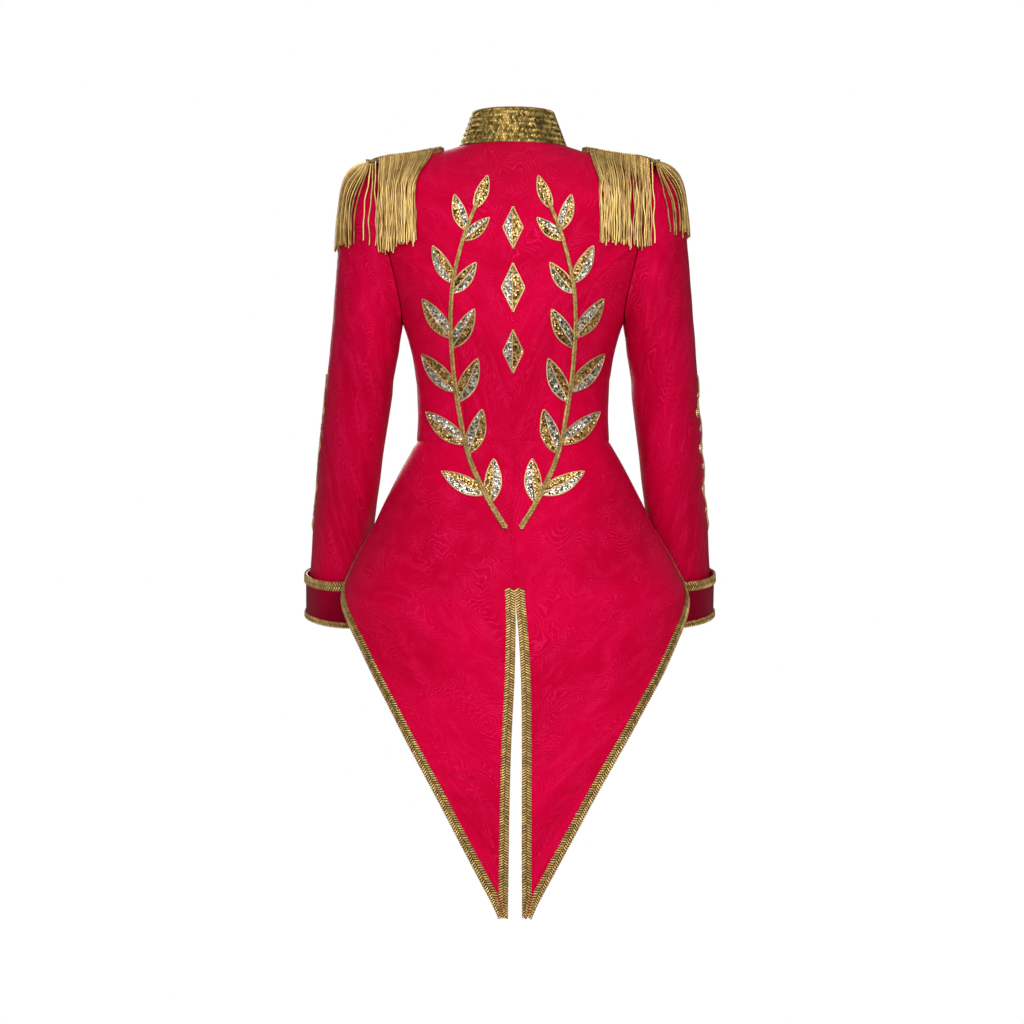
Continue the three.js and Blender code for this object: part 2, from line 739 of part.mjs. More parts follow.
function headerSlab() {
  const line = headerLine();
  const corner = (outward) => (Math.abs(outward.x) > 0.1 && Math.abs(outward.y) > 0.1 ? Math.SQRT2 : 1);
  const foot = (p, outward) => p.clone().addScaledVector(outward, LIFT * corner(outward));
  const upper = line.map(([p, out]) => foot(p, out).setZ(p.z + BOARD_THICK + HEADER_RISE));
  const lower = line.map(([p, out]) => {
    const q = foot(p, out);
    return q.setZ(Math.max(p.z - HEADER_DROP, clothHeight(q.x, q.y) + 1.2));
  });
  const rows = [upper, lower];
  const normals = rows.map(() => line.map(([, out]) => out.clone().multiplyScalar(corner(out))));
  return slab({ rows, normals, closed: false }, 0, HEADER_THICK);
}

// A prism along a path, with three sides and a blunt, slightly thinner end
function strandGeometry(path, outward) {
  const position = [];
  const index = [];
  const side = vec(-outward.y, outward.x, 0).normalize();
  path.forEach((p, i) => {
    const before = path[Math.max(i - 1, 0)];
    const after = path[Math.min(i + 1, path.length - 1)];
    const along = after.clone().sub(before).normalize();
    const out = side.clone().cross(along).normalize();
    const radius = STRAND * (i === path.length - 1 ? 0.75 : 1);
    for (let k = 0; k < 3; k++) {
      const a = (2 * Math.PI * k) / 3;
      const q = p
        .clone()
        .addScaledVector(side, radius * Math.sin(a))
        .addScaledVector(out, radius * Math.cos(a));
      position.push(q.x, q.y, q.z);
    }
  });
  const last = path.length - 1;
  for (let i = 0; i < last; i++)
    for (let k = 0; k < 3; k++) {
      const a = 3 * i + k;
      const b = 3 * i + ((k + 1) % 3);
      index.push(a, b, a + 3, b, b + 3, a + 3);
    }
  index.push(0, 2, 1, 3 * last, 3 * last + 1, 3 * last + 2);
  const geometry = new THREE.BufferGeometry();
  geometry.setAttribute("position", new THREE.Float32BufferAttribute(position, 3));
  geometry.setIndex(index);
  return solidOf(geometry).volume() > 0 ? geometry : flipped(geometry);
}

function flipped(geometry) {
  const index = Array.from(geometry.index.array);
  for (let i = 0; i < index.length; i += 3) [index[i + 1], index[i + 2]] = [index[i + 2], index[i + 1]];
  geometry.setIndex(index);
  return geometry;
}

const CLOTH_BELOW = ["back", "back_side_left", "front_left", "front_side_left"].map(meshNamed).concat(sleeveMesh);
const HANG = 2.6; // from the cloth to the middle of a strand
const SAMPLES = 60; // heights at which the cloth is read under a strand
const SLACK = 0.9; // how far a strand's bends may cut inside the true curve

// Leaves out the bends that a path hardly needs
function simplified(path) {
  if (path.length < 3) return path;
  const [a, b] = [path[0], path.at(-1)];
  const length = Math.hypot(b[0] - a[0], b[1] - a[1]);
  const off = path.map((p) => Math.abs((b[0] - a[0]) * (p[1] - a[1]) - (b[1] - a[1]) * (p[0] - a[0])) / length);
  const worst = off.indexOf(Math.max(...off));
  if (off[worst] < SLACK) return [a, b];
  return [...simplified(path.slice(0, worst + 1)), ...simplified(path.slice(worst)).slice(1)];
}

// The taut curve that a strand takes over the cloth, as reaches outwards from its root and heights
function tautCurve(root, outward, drift, drop) {
  const points = [
    [LIFT + 1.2, root.z],
    [LIFT + HEADER_THICK + 0.6, root.z - 7],
  ];
  const clear = (reach, z, normal) => {
    const [out, up] = [normal.dot(outward), normal.z];
    const away = HANG / Math.max(out * out + up * up, 0.25); // more where the cloth slopes sideways
    points.push([reach + away * out, z + away * up]);
  };
  for (let i = 1; i <= SAMPLES; i++) {
    const share = i / SAMPLES;
    const from = root.clone().addScaledVector(drift, smooth(share, 0, 0.6)).addScaledVector(outward, FAR);
    const hit = hitOn(CLOTH_BELOW, from.setZ(root.z - share * drop), outward.clone().negate());
    if (hit) clear(FAR - hit.distance, from.z, hit.face.normal);
    const above = root.clone().addScaledVector(outward, i).setZ(FAR);
    const under = hitOn(CLOTH_BELOW, above, vec(0, 0, -1));
    if (under) clear(i, under.point.z, under.face.normal);
  }
  const within = (p) => p[1] <= root.z && p[1] > root.z - drop;
  const ordered = points.filter(within).sort((p, q) => q[1] - p[1]);
  ordered.push([Math.max(...ordered.map((p) => p[0])), root.z - drop]);
  const hull = [];
  for (const c of ordered) {
    const turnsBack = () => {
      const [a, b] = hull.slice(-2);
      return (b[0] - a[0]) * (c[1] - b[1]) - (b[1] - a[1]) * (c[0] - b[0]) >= 0;
    };
    while (hull.length > 1 && turnsBack()) hull.pop();
    hull.push(c);
  }
  return simplified(hull);
}

function strand(root, outward, drift, drop) {
  const path = tautCurve(root, outward, drift, drop).map(([reach, z]) => {
    const share = (root.z - z) / drop;
    return root.clone().addScaledVector(drift, smooth(share, 0, 0.6)).addScaledVector(outward, reach).setZ(z);
  });
  return strandGeometry(path, outward);
}

// One group for each edge: strands, where their roots start and end along it, and how they fan out
const FRINGE_GROUPS = [
  { count: 31, edge: "back", from: 0.2, to: 0.985 },
  { count: 15, edge: "end", from: 0.86, to: -0.86 },
  { count: 15, edge: "front", from: 0.22, to: 0.97 },
];
const END_FAN = 52; // degrees that the strands at the end's corners turn away from straight out
const BACK_DRIFT = 15; // how far the innermost strands slide down the shoulder

function fringeStrands() {
  const strands = [];
  for (const { count, edge, from, to } of FRINGE_GROUPS)
    for (let i = 0; i < count; i++) {
      const f = mix(from, to, i / (count - 1));
      const drop = FRINGE_LENGTH + 3.5 * Math.sin(i * 2.4) + 2 * Math.cos(i * 5.1);
      const raised = vec(0, 0, 1.2);
      if (edge === "end") {
        const angle = rad(END_FAN * f);
        strands.push(strand(boardPoint(1, f).add(raised), vec(Math.cos(angle), Math.sin(angle), 0), vec(0, 0, 0), drop));
      } else {
        const facing = edge === "back" ? 1 : -1;
        const drift = vec(BACK_DRIFT * (1 - f) ** 1.5 - 2 * f, 0, 0);
        strands.push(strand(boardEdge(f, facing).add(raised), vec(0, facing, 0), drift, drop));
      }
    }
  return strands;
}

addPair("fringe", joined([headerSlab(), ...fringeStrands()]), GOLD);

// The sequin design: raised leaves on a curved stem on each side of the back, like a laurel wreath that
// is open at the top, with a column of lozenges between them. Points are given across and up.
const DESIGN_CLOTH = ["back", "back_side_left", "tail_left"].map(meshNamed);
const DESIGN_LIFT = 1.4;
const DESIGN_THICK = 2;

// The cloth's height at a place on the back, read beside it too, in case it lies in a seam
function onBack(x, z) {
  const place = (d) => vec(Math.max(Math.abs(x) + d, 0.8), FAR, z + d);
  const near = [0, 0.6, -0.6].map((d) => hitOn(DESIGN_CLOTH, place(d), vec(0, -1, 0)));
  return vec(x, Math.max(...near.map((hit) => (hit ? hit.point.y : -FAR))), z);
}

// The way out of the cloth at a place on the back, smoothed over the facets there
function outOfBack(x, z) {
  const across = onBack(x + 5, z).sub(onBack(x - 5, z));
  const down = onBack(x, z - 5).sub(onBack(x, z + 5));
  return across.cross(down).normalize();
}

// A slab over a grid of places on the back, top row first, each row from the centre outwards
function appliqueSlab(places, lift = DESIGN_LIFT) {
  const rows = places.map((row) => row.map(([x, z]) => onBack(x, z)));
  const normals = places.map((row) => row.map(([x, z]) => outOfBack(x, z)));
  return slab({ rows, normals, closed: false }, lift, DESIGN_THICK);
}

const LEAF_STATIONS = [0.02, 0.22, 0.48, 0.76, 0.99];
const leafWidth = (f) => Math.sin(Math.PI * f ** 0.85) ** 0.8;

function leafSlab(x, z, direction, length, width) {
  const along = [Math.sin(direction), Math.cos(direction)];
  const places = LEAF_STATIONS.slice()
    .reverse()
    .map((f) => {
      const half = Math.max((width / 2) * leafWidth(f), 0.6);
      return [-1, 0, 1].map((side) => [
        x + along[0] * length * f + along[1] * half * side,
        z + along[1] * length * f - along[0] * half * side,
      ]);
    });
  return appliqueSlab(places);
}

const STEM = new THREE.SplineCurve(
  [
    [9, -508],
    [33, -468],
    [57, -414],
    [71, -345],
    [79, -270],
    [78, -196],
    [64, -132],
    [46, -84],
  ].map(([x, z]) => new THREE.Vector2(x, z)),
);
const STEM_WIDTH = 6;
const LEAF_PAIRS = 6;
const LEAF_SPREAD = 34; // degrees between a leaf and the stem

function stemPlaces(f) {
  const p = STEM.getPointAt(f);
  const t = STEM.getTangentAt(f);
  const half = (STEM_WIDTH / 2) * (1 - 0.45 * f);
  return [-1, 1].map((side) => [p.x + t.y * half * side, p.y - t.x * half * side]);
}

function branch() {
  const pieces = [appliqueSlab(evenly(15).map((f) => stemPlaces(1 - f)))];
  for (let i = 0; i < LEAF_PAIRS; i++) {
    const f = mix(0.09, 0.88, i / (LEAF_PAIRS - 1));
    const length = 68 * (0.72 + 0.28 * Math.sin(Math.PI * Math.min(f + 0.18, 1)));
    for (const side of [-1, 1]) {
      const p = STEM.getPointAt(Math.min(f + (side > 0 ? 0.03 : 0), 1));
      const t = STEM.getTangentAt(f);
      const direction = Math.atan2(t.x, t.y) + side * rad(LEAF_SPREAD);
      pieces.push(leafSlab(p.x, p.y, direction, length * (side < 0 ? 0.9 : 1), length * 0.33));
    }
  }
  const top = STEM.getPointAt(0.98);
  const t = STEM.getTangentAt(1);
  pieces.push(leafSlab(top.x, top.y, Math.atan2(t.x, t.y), 46, 15));
  return joined(pieces);
}

addPair("sequin_branch", branch(), SEQUIN);

const LOZENGES = [
  // height of the centre, half width, half height
  [-118, 13, 27],
  [-196, 15, 31],
  [-278, 13, 27],
];
LOZENGES.forEach(([z, halfWidth, halfHeight], i) => {
  const rows = [1, 0.5, 0, -0.5, -1].map((f) => {
    const w = Math.max(halfWidth * (1 - Math.abs(f)), 0.5);
    return [-1, 0, 1].map((side) => [side * w, z + f * halfHeight]);
  });
  add("sequin_lozenge_" + (i + 1), appliqueSlab(rows, 2 * LIFT), SEQUIN);
});

// The cord scroll on each forearm, up from the cuff on the outer side towards the front
const SCROLL_BOTTOM = 12.45; // in sleeve rings
const SCROLL_TOP = 9.3;
const SCROLL_COLUMN = 1.35;
const SCROLL_SWAY = 1.05;
const SCROLL_WAVES = 2.5;
const SCROLL_WIDTH = 0.16; // of a column, half of the ribbon
const SCROLL_STEPS = 34;
const SCROLL_THICK = 2.2;
const SCROLL_LIFT = 1.4;

function onSleeve(ring, column) {
  const i = Math.min(Math.floor(ring), sleeve.rows.length - 2);
  const j = Math.floor(column + SLEEVE_STEPS) % SLEEVE_STEPS;
  const k = (j + 1) % SLEEVE_STEPS;
  const f = ring - i;
  const g = column - Math.floor(column);
  const read = (grid) => {
    const upper = grid[i][j].clone().lerp(grid[i][k], g);
    return upper.lerp(grid[i + 1][j].clone().lerp(grid[i + 1][k], g), f);
  };
  return { point: read(sleeve.rows), normal: read(sleeve.normals).normalize() };
}

function scrollShell() {
  const rows = [];
  const normals = [];
  for (const f of evenly(SCROLL_STEPS).reverse()) {
    const ring = mix(SCROLL_BOTTOM, SCROLL_TOP, f);
    const sway = SCROLL_SWAY * (1 - 0.55 * f);
    const column = SCROLL_COLUMN + sway * Math.sin(2 * Math.PI * SCROLL_WAVES * f);
    const half = SCROLL_WIDTH * (1 - 0.5 * f);
    const ends = [-half, half].map((d) => onSleeve(ring, column + d));
    rows.push(ends.map((e) => e.point));
    normals.push(ends.map((e) => e.normal));
  }
  return { rows, normals, closed: false };
}

addPair("sleeve_scroll", slab(scrollShell(), SCROLL_LIFT, SCROLL_THICK), GOLD, sleeveSway);

export default coat;
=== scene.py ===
"""A ringmaster's tailcoat in red jacquard with gold braid, fringed epaulettes and a sequin laurel wreath.
Metres, in the model's frame: +Z up, the wearer's back towards +Y and the wearer's left arm at +X."""

import math

import bpy
import numpy as np
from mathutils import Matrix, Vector, noise
from mathutils.bvhtree import BVHTree


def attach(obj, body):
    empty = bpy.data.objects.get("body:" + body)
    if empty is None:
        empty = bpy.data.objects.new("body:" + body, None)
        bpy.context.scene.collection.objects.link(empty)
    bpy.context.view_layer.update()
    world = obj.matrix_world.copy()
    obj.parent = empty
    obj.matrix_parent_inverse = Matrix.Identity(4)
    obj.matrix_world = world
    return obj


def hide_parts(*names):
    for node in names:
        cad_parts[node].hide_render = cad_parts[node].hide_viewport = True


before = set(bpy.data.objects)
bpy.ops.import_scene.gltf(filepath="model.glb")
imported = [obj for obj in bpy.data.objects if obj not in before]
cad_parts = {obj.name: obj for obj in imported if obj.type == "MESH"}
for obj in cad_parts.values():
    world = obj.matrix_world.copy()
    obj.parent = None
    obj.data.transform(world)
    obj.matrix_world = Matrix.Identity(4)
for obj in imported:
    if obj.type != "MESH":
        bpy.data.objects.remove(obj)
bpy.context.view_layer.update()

# The picture. The coat is seen from straight behind, level with its hips, filled out as it is worn, on
# white, in the even light of two large soft boxes, with a weak one overhead and one for its front.
PHOTO_WIDTH_AT_COAT = 1.3653  # metres that the frame spans at the middle of the coat
CAMERA_DISTANCE = 3.5
CAMERA_HEIGHT = -0.486
FLOOR_HEIGHT = -1.3

camera = bpy.data.objects.new("camera", bpy.data.cameras.new("camera"))
camera.location = (0.00133, CAMERA_DISTANCE, CAMERA_HEIGHT)
camera.rotation_euler = (math.pi / 2, 0, math.pi)
camera.data.sensor_width = 36
camera.data.lens = 36 * CAMERA_DISTANCE / PHOTO_WIDTH_AT_COAT
bpy.context.scene.collection.objects.link(camera)
bpy.context.scene.camera = camera
bpy.context.scene.view_settings.view_transform = "Standard"


def soft_box(name, place, aim, size, power):
    light = bpy.data.objects.new(name, bpy.data.lights.new(name, "AREA"))
    light.data.shape = "RECTANGLE"
    light.data.size, light.data.size_y = size
    light.data.energy = power
    light.location = place
    light.rotation_euler = (Vector(aim) - Vector(place)).to_track_quat("-Z", "Y").to_euler()
    bpy.context.scene.collection.objects.link(light)


soft_box("soft_box_left", (0.9, 3.4, 0.5), (0, 0, -0.4), (1.1, 1.8), 44)
soft_box("soft_box_right", (-0.8, 3.5, 0.3), (0, 0, -0.4), (1.1, 1.8), 58)
soft_box("soft_box_above", (0, 1.2, 2.2), (0, 0, -0.3), (1.4, 0.9), 12)
soft_box("soft_box_front", (0.8, -3.0, 0.8), (0, 0, -0.4), (1.6, 2.0), 70)

world = bpy.data.worlds.new("white_room")
world.use_nodes = True
bpy.context.scene.world = world
room = world.node_tree
surroundings = room.nodes["Background"]
surroundings.inputs["Color"].default_value = (0.62, 0.62, 0.64, 1)
surroundings.inputs["Strength"].default_value = 0.2
backdrop = room.nodes.new("ShaderNodeBackground")
backdrop.inputs["Color"].default_value = (1, 1, 1, 1)


def white_where_seen(tree, lit, white, output):
    """Plain white in the picture itself, and another surface for the light that falls on the coat."""
    seen = tree.nodes.new("ShaderNodeLightPath")
    either = tree.nodes.new("ShaderNodeMixShader")
    tree.links.new(seen.outputs["Is Camera Ray"], either.inputs[0])
    tree.links.new(lit.outputs[0], either.inputs[1])
    tree.links.new(white.outputs[0], either.inputs[2])
    tree.links.new(either.outputs[0], tree.nodes[output].inputs["Surface"])


white_where_seen(room, surroundings, backdrop, "World Output")

floor_mesh = bpy.data.meshes.new("floor")
corners = [(x, y, FLOOR_HEIGHT) for x, y in ((-7, -7), (7, -7), (7, 7), (-7, 7))]
floor_mesh.from_pydata(corners, [], [(0, 1, 2, 3)])
floor = bpy.data.objects.new("floor", floor_mesh)
bpy.context.scene.collection.objects.link(floor)
white_paper = bpy.data.materials.new("white_paper")
white_paper.use_nodes = True
paper_tree = white_paper.node_tree
paper = paper_tree.nodes["Principled BSDF"]
paper.inputs["Base Color"].default_value = (0.8, 0.8, 0.8, 1)
paper.inputs["Roughness"].default_value = 0.9
white_where_seen(paper_tree, paper, paper_tree.nodes.new("ShaderNodeEmission"), "Material Output")
floor_mesh.materials.append(white_paper)


# The cloth: red jacquard, a satin ground with a figure of rosettes and flowing contour lines woven in a
# slightly paler, shinier thread. UV is in millimetres on the cloth. The inside is a plain red lining.
RED_GROUND = (0.60, 0.0, 0.034)
RED_FIGURE = (0.72, 0.008, 0.075)
RED_SHADE = (0.50, 0.0, 0.026)
LINING_RED = (0.26, 0.002, 0.02)


def node_group(name, inputs, outputs):
    group = bpy.data.node_groups.new(name, "ShaderNodeTree")
    for label, kind, value in inputs:
        socket = group.interface.new_socket(label, in_out="INPUT", socket_type=kind)
        if value is not None:
            socket.default_value = value
    for label, kind in outputs:
        group.interface.new_socket(label, in_out="OUTPUT", socket_type=kind)
    return group, group.nodes.new("NodeGroupInput"), group.nodes.new("NodeGroupOutput")


class Wiring:
    """Places nodes in a tree and joins them; a value may also be another node's output."""

    def __init__(self, tree):
        self.tree = tree

    def feed(self, node, inputs):
        """Inputs go by their label or their number."""
        for key, value in inputs.items():
            if isinstance(value, bpy.types.NodeSocket):
                self.tree.links.new(value, node.inputs[key])
            else:
                node.inputs[key].default_value = value

    def put(self, kind, settings=None, **inputs):
        made = self.tree.nodes.new("ShaderNode" + kind)
        for key, value in (settings or {}).items():
            setattr(made, key, value)
        numbered = {int(key[1:]) if key[1:].isdigit() else key: value for key, value in inputs.items()}
        self.feed(made, numbered)
        return made

    def maths(self, operation, *values):
        made = self.put("Math", {"operation": operation})
        self.feed(made, dict(enumerate(values)))
        return made.outputs[0]

    def vectors(self, operation, *values):
        made = self.put("VectorMath", {"operation": operation})
        self.feed(made, dict(enumerate(values)))
        return made.outputs[0]

    def steps(self, value, low, high, low_out=0.0, high_out=1.0):
        """Rises smoothly as the value goes from low to high."""
        smooth = {"interpolation_type": "SMOOTHSTEP"}
        return self.put("MapRange", smooth, i0=value, i1=low, i2=high, i3=low_out, i4=high_out).outputs[0]

    def blend(self, share, one, other):
        one, other = (c if isinstance(c, bpy.types.NodeSocket) else (*c, 1) for c in (one, other))
        return self.put("Mix", {"data_type": "RGBA"}, i0=share, i6=one, i7=other).outputs[2]

    def specks(self, place, scale, detail, rough=0.5, output="Fac"):
        flat = {"noise_dimensions": "2D"}
        made = self.put("TexNoise", flat, Vector=place, Scale=scale, Detail=detail, Roughness=rough)
        return made.outputs[output]

    def cloth_place(self):
        return self.put("UVMap", {"uv_map": "cloth"}).outputs[0]

    def bump(self, height, strength, distance):
        return self.put("Bump", Height=height, Strength=strength, Distance=distance).outputs[0]


def woven_figure_group():
    """Rosettes with scalloped rings, and the contour lines that flow between them, from millimetres."""
    group, given, result = node_group(
        "woven figure",
        [("Place", "NodeSocketVector", None)],
        [("Lines", "NodeSocketFloat"), ("Patches", "NodeSocketFloat")],
    )
    w = Wiring(group)
    place = given.outputs["Place"]
    flow = w.specks(place, 0.017, 1.0, output="Color")
    bent = w.vectors("MULTIPLY_ADD", flow, (46, 46, 0), place)
    in_plane = {"voronoi_dimensions": "2D", "feature": "F1"}
    rosettes = w.put("TexVoronoi", in_plane, Vector=bent, Scale=0.0165, Randomness=0.9)
    from_middle = rosettes.outputs["Distance"]
    parts = w.put("SeparateXYZ", i0=w.vectors("SUBTRACT", bent, rosettes.outputs["Position"]))
    angle = w.maths("ARCTAN2", parts.outputs[1], parts.outputs[0])
    petals = w.maths("COSINE", w.maths("MULTIPLY", angle, 7.0))
    scallops = w.maths("MULTIPLY", petals, w.steps(from_middle, 0.03, 0.42, 0.05, 0.5))
    rings = w.maths("ADD", w.maths("MULTIPLY", from_middle, 12.5), scallops)
    rings = w.maths("ADD", rings, w.maths("MULTIPLY", w.specks(place, 0.03, 0.0), 3.0))
    line = w.steps(w.maths("COSINE", w.maths("MULTIPLY", rings, 2 * math.pi)), 0.42, 1.0)
    shown = w.steps(w.specks(place, 0.021, 2.0), 0.36, 0.64, 0.1, 1.0)
    broken = w.steps(w.specks(place, 0.4, 2.0, 0.7), 0.3, 0.62, 0.15, 1.0)
    flecks = w.steps(w.specks(bent, 0.05, 4.0, 0.65), 0.45, 0.72, 0.0, 0.5)
    drawn = w.maths("MULTIPLY", w.maths("MULTIPLY", line, shown), broken)
    lines = w.maths("MAXIMUM", drawn, w.maths("MULTIPLY", flecks, broken))
    patches = w.steps(w.specks(place, 0.0065, 2.0), 0.36, 0.66)
    w.feed(result, {"Lines": lines, "Patches": patches})
    return group


woven_figure = woven_figure_group()


def new_material(name):
    material = bpy.data.materials.new(name)
    material.use_nodes = True
    return material, Wiring(material.node_tree), material.node_tree.nodes["Principled BSDF"]


def jacquard_material(name, shade_colour, ground_colour, figure_colour, rough=0.5):
    material, w, shader = new_material(name)
    place = w.cloth_place()
    figure = w.put("Group", {"node_tree": woven_figure}, Place=place)
    lines, patches = figure.outputs["Lines"], figure.outputs["Patches"]
    threads = w.specks(place, 1.1, 2.0)
    colours = {
        "Base Color": w.blend(lines, w.blend(patches, shade_colour, ground_colour), figure_colour),
        "Roughness": w.maths("MULTIPLY_ADD", threads, 0.08, w.maths("MULTIPLY_ADD", lines, -0.12, rough)),
        "Normal": w.bump(w.maths("MULTIPLY_ADD", threads, 0.35, lines), 0.35, 0.0002),
    }
    satin = {
        "Specular IOR Level": 0.4,
        "Specular Tint": (1.0, 0.02, 0.16, 1),
        "Sheen Weight": 0.05,
        "Sheen Roughness": 0.4,
        "Sheen Tint": (1.0, 0.05, 0.2, 1),
    }
    w.feed(shader, colours | satin)
    return material


def lining_material():
    material, w, shader = new_material("red_lining")
    ribs = w.specks(w.cloth_place(), 0.9, 3.0)
    colour = w.blend(ribs, LINING_RED, tuple(1.25 * c for c in LINING_RED))
    w.feed(shader, {"Base Color": colour, "Normal": w.bump(ribs, 0.2, 0.0002)})
    w.feed(shader, {"Roughness": 0.45, "Specular Tint": (1.0, 0.1, 0.2, 1)})
    return material


jacquard = jacquard_material("red_jacquard", RED_SHADE, RED_GROUND, RED_FIGURE)
# Painted shade: the sleeves take the coat's ground and patch reds painted 16% darker, as crosswise satin
# catches less light; the figure keeps its full red.
sleeve_shaded_reds = [tuple(0.84 * c for c in colour) for colour in (RED_SHADE, RED_GROUND)]  # catches less light
sleeve_shaded_jacquard = jacquard_material("red_jacquard_crosswise_shaded", *sleeve_shaded_reds, RED_FIGURE)
lining = lining_material()


# The body, cut with princess seams and filled out over a general figure. Its surface is a set of rings
# from the neck over the shoulders to the waist: half width, depth behind and in front, and heights.
CLOTH = 2.0  # thickness in millimetres, as are all the sizes in the tables
SEAM = 0.3  # the gap between two cut edges
SEAM_DEPTH, SEAM_WIDTH = 0.9, 2.0  # how far the stitches pull the cloth down, and over what width
SQUARENESS = 2.25  # of each ring: 2 is an ellipse


def smooth_table(rows):
    """Reads columns that vary smoothly with the first one."""
    data = np.array(rows, float)
    keys, columns = data[:, 0], data[:, 1:]
    order = 1 if keys[1] > keys[0] else -1

    def read(key):
        i = int(np.clip(np.searchsorted(order * keys, order * key, "right") - 1, 0, len(keys) - 2))
        span = keys[i + 1] - keys[i]
        f = min(max((key - keys[i]) / span, 0), 1)

        def slope(k):
            a, b = max(k - 1, 0), min(k + 1, len(keys) - 1)
            return (columns[b] - columns[a]) / (keys[b] - keys[a])

        g = f * f * (3 - 2 * f)
        level = columns[i] + (columns[i + 1] - columns[i]) * g
        return level + f * (1 - f) * span * ((1 - f) * slope(i) - f * slope(i + 1))

    return read


bodice_ring = smooth_table(
    [
        [0, 70, 60, 62, 0, 0, -42],
        [1, 108, 77, 74, -10, -29, -62],
        [2, 148, 90, 84, -16.5, -57, -84],
        [3, 186, 99, 96, -21, -86, -108],
        [4, 201, 104, 108, -52, -115, -132],
        [5, 200, 107, 118, -92, -143, -156],
        [6, 190, 109, 127, -135, -172, -182],
        [7, 173, 110, 133, -178, -202, -208],
        [8, 157, 110, 136, -214, -226, -230],
        [9, 146, 109, 136, -238, -245, -247],
        [10, 138, 105, 133, -262, -266, -268],
        [11, 131.5, 98, 124, -292, -294, -296],
        [12, 128, 90, 112, -326, -327, -328],
        [13, 127, 84, 103, -360, -360, -360],
        [14, 128, 80, 98, -393, -393, -393],
    ]
)
armhole = smooth_table(
    [
        # step, level, angle of the back edge, angle of the front edge
        [0, 3.0, 90, 90],
        [1, 3.18, 75, 104],
        [2, 3.7, 64, 116],
        [3, 4.5, 57.5, 123.5],
        [4, 5.6, 55.5, 127.5],
        [5, 6.8, 59, 126.5],
        [6, 7.8, 66, 120],
        [7, 8.6, 76, 107],
        [8, 9.0, 90, 90],
    ]
)
back_seam = smooth_table([[5.6, 54.9], [6.3, 41], [7.2, 34.5], [9, 33], [11, 31.5], [14, 28]])
front_seam = smooth_table([[6.8, 127.1], [7.8, 138], [9, 144], [11, 148], [14, 152]])


def ring_points(ring, degrees):
    half_width, back, front, z_side, z_back, z_front = ring
    s, c = np.sin(np.radians(degrees)), np.cos(np.radians(degrees))
    r = (np.abs(s) ** SQUARENESS + np.abs(c) ** SQUARENESS) ** (-1 / SQUARENESS)
    depth = np.where(c > 0, back, front)
    z = np.where(c > 0, z_back, z_front)
    return np.stack([half_width * s * r, depth * c * r, z_side + (z - z_side) * c * c], -1)


def body_points(level, degrees):
    return ring_points(bodice_ring(level), np.asarray(degrees, float))


def unit(vectors):
    return vectors / np.maximum(np.linalg.norm(vectors, axis=-1, keepdims=True), 1e-9)


def outward(surface, row, degrees, row_step):
    across = surface(row, degrees + 0.5) - surface(row, degrees - 0.5)
    down = surface(row + row_step, degrees) - surface(row - row_step, degrees)
    return unit(np.cross(across, down))


def degrees_for(ring, degrees, length):
    a, b = ring_points(ring, np.array([degrees - 0.5, degrees + 0.5]))
    return length / np.linalg.norm(a - b)


def crowded_ends(count, share=0.75):
    """Shares from 0 to 1 that lie closer together at both ends, where the seams are."""
    t = np.linspace(0, 1, count)
    return (1 - share) * t + share * (1 - np.cos(math.pi * t)) / 2


def lengths_along(points, axis):
    steps = np.linalg.norm(np.diff(points, axis=axis), axis=-1)
    start = np.zeros_like(np.take(steps, [0], axis=axis))
    return np.cumsum(np.concatenate([start, steps], axis=axis), axis=axis)


SIDES = {"left": np.array([1, 1, 1]), "right": np.array([-1, 1, 1])}  # what turns a left piece into each


class Cloth:
    """A grid of outer points in millimetres with normals. Rows run down, and columns towards +X."""

    def __init__(self, points, normals, closed=False):
        self.points, self.normals, self.closed = points, normals, closed

    def on(self, side):
        """The same piece, cut for the wearer's left or right."""
        if side == "left":
            return self
        return Cloth(self.points[:, ::-1] * SIDES[side], self.normals[:, ::-1] * SIDES[side], self.closed)

    def moved(self, amount):
        """The same cloth with each point moved out by an amount."""
        moved = self.points + self.normals * amount[..., None]
        return Cloth(moved, self.normals, self.closed)

    def seamed(self, sides=("left", "right", "top", "bottom")):
        """Pulled down at its edges, as the stitches of a seam do."""
        across, down = lengths_along(self.points, 1), lengths_along(self.points, 0)
        near = {
            "left": across,
            "right": across[:, -1:] - across,
            "top": down,
            "bottom": down[-1:] - down,
        }
        pull = sum(np.exp(-((near[side] / SEAM_WIDTH) ** 2)) for side in sides)
        return self.moved(-SEAM_DEPTH * np.minimum(pull, 1))

    def creased(self, creases):
        """Soft troughs and ridges: where, which way, half length, half width and depth."""
        amount = np.zeros(self.points.shape[:2])
        for x, z, turn, length, width, depth in creases:
            dx, dz = self.points[..., 0] - x, self.points[..., 2] - z
            c, s = math.cos(math.radians(turn)), math.sin(math.radians(turn))
            along, off = dx * c + dz * s, dz * c - dx * s
            amount += depth * np.exp(-((along / length) ** 2) - (off / width) ** 2)
        return self.moved(amount)

    def uneven(self, size, depth, seed):
        """The slight unevenness of cloth that is interlined and pressed by hand."""
        flat = self.points.reshape(-1, 3)
        amount = [noise.noise(Vector(p / size) + Vector((seed, seed, seed))) for p in flat]
        return self.moved(depth * np.array(amount).reshape(self.points.shape[:2]))


def mesh_object(name, points, faces, uvs, materials, face_materials, sharp=50):
    mesh = bpy.data.meshes.new(name)
    mesh.from_pydata((points * 0.001).tolist(), [], faces)
    mesh.uv_layers.new(name="cloth").data.foreach_set("uv", np.asarray(uvs, np.float32).ravel())
    for material in materials:
        mesh.materials.append(material)
    mesh.polygons.foreach_set("material_index", face_materials)
    mesh.shade_smooth()
    mesh.set_sharp_from_angle(angle=math.radians(sharp))
    made = bpy.data.objects.new(name, mesh)
    bpy.context.scene.collection.objects.link(made)
    return made


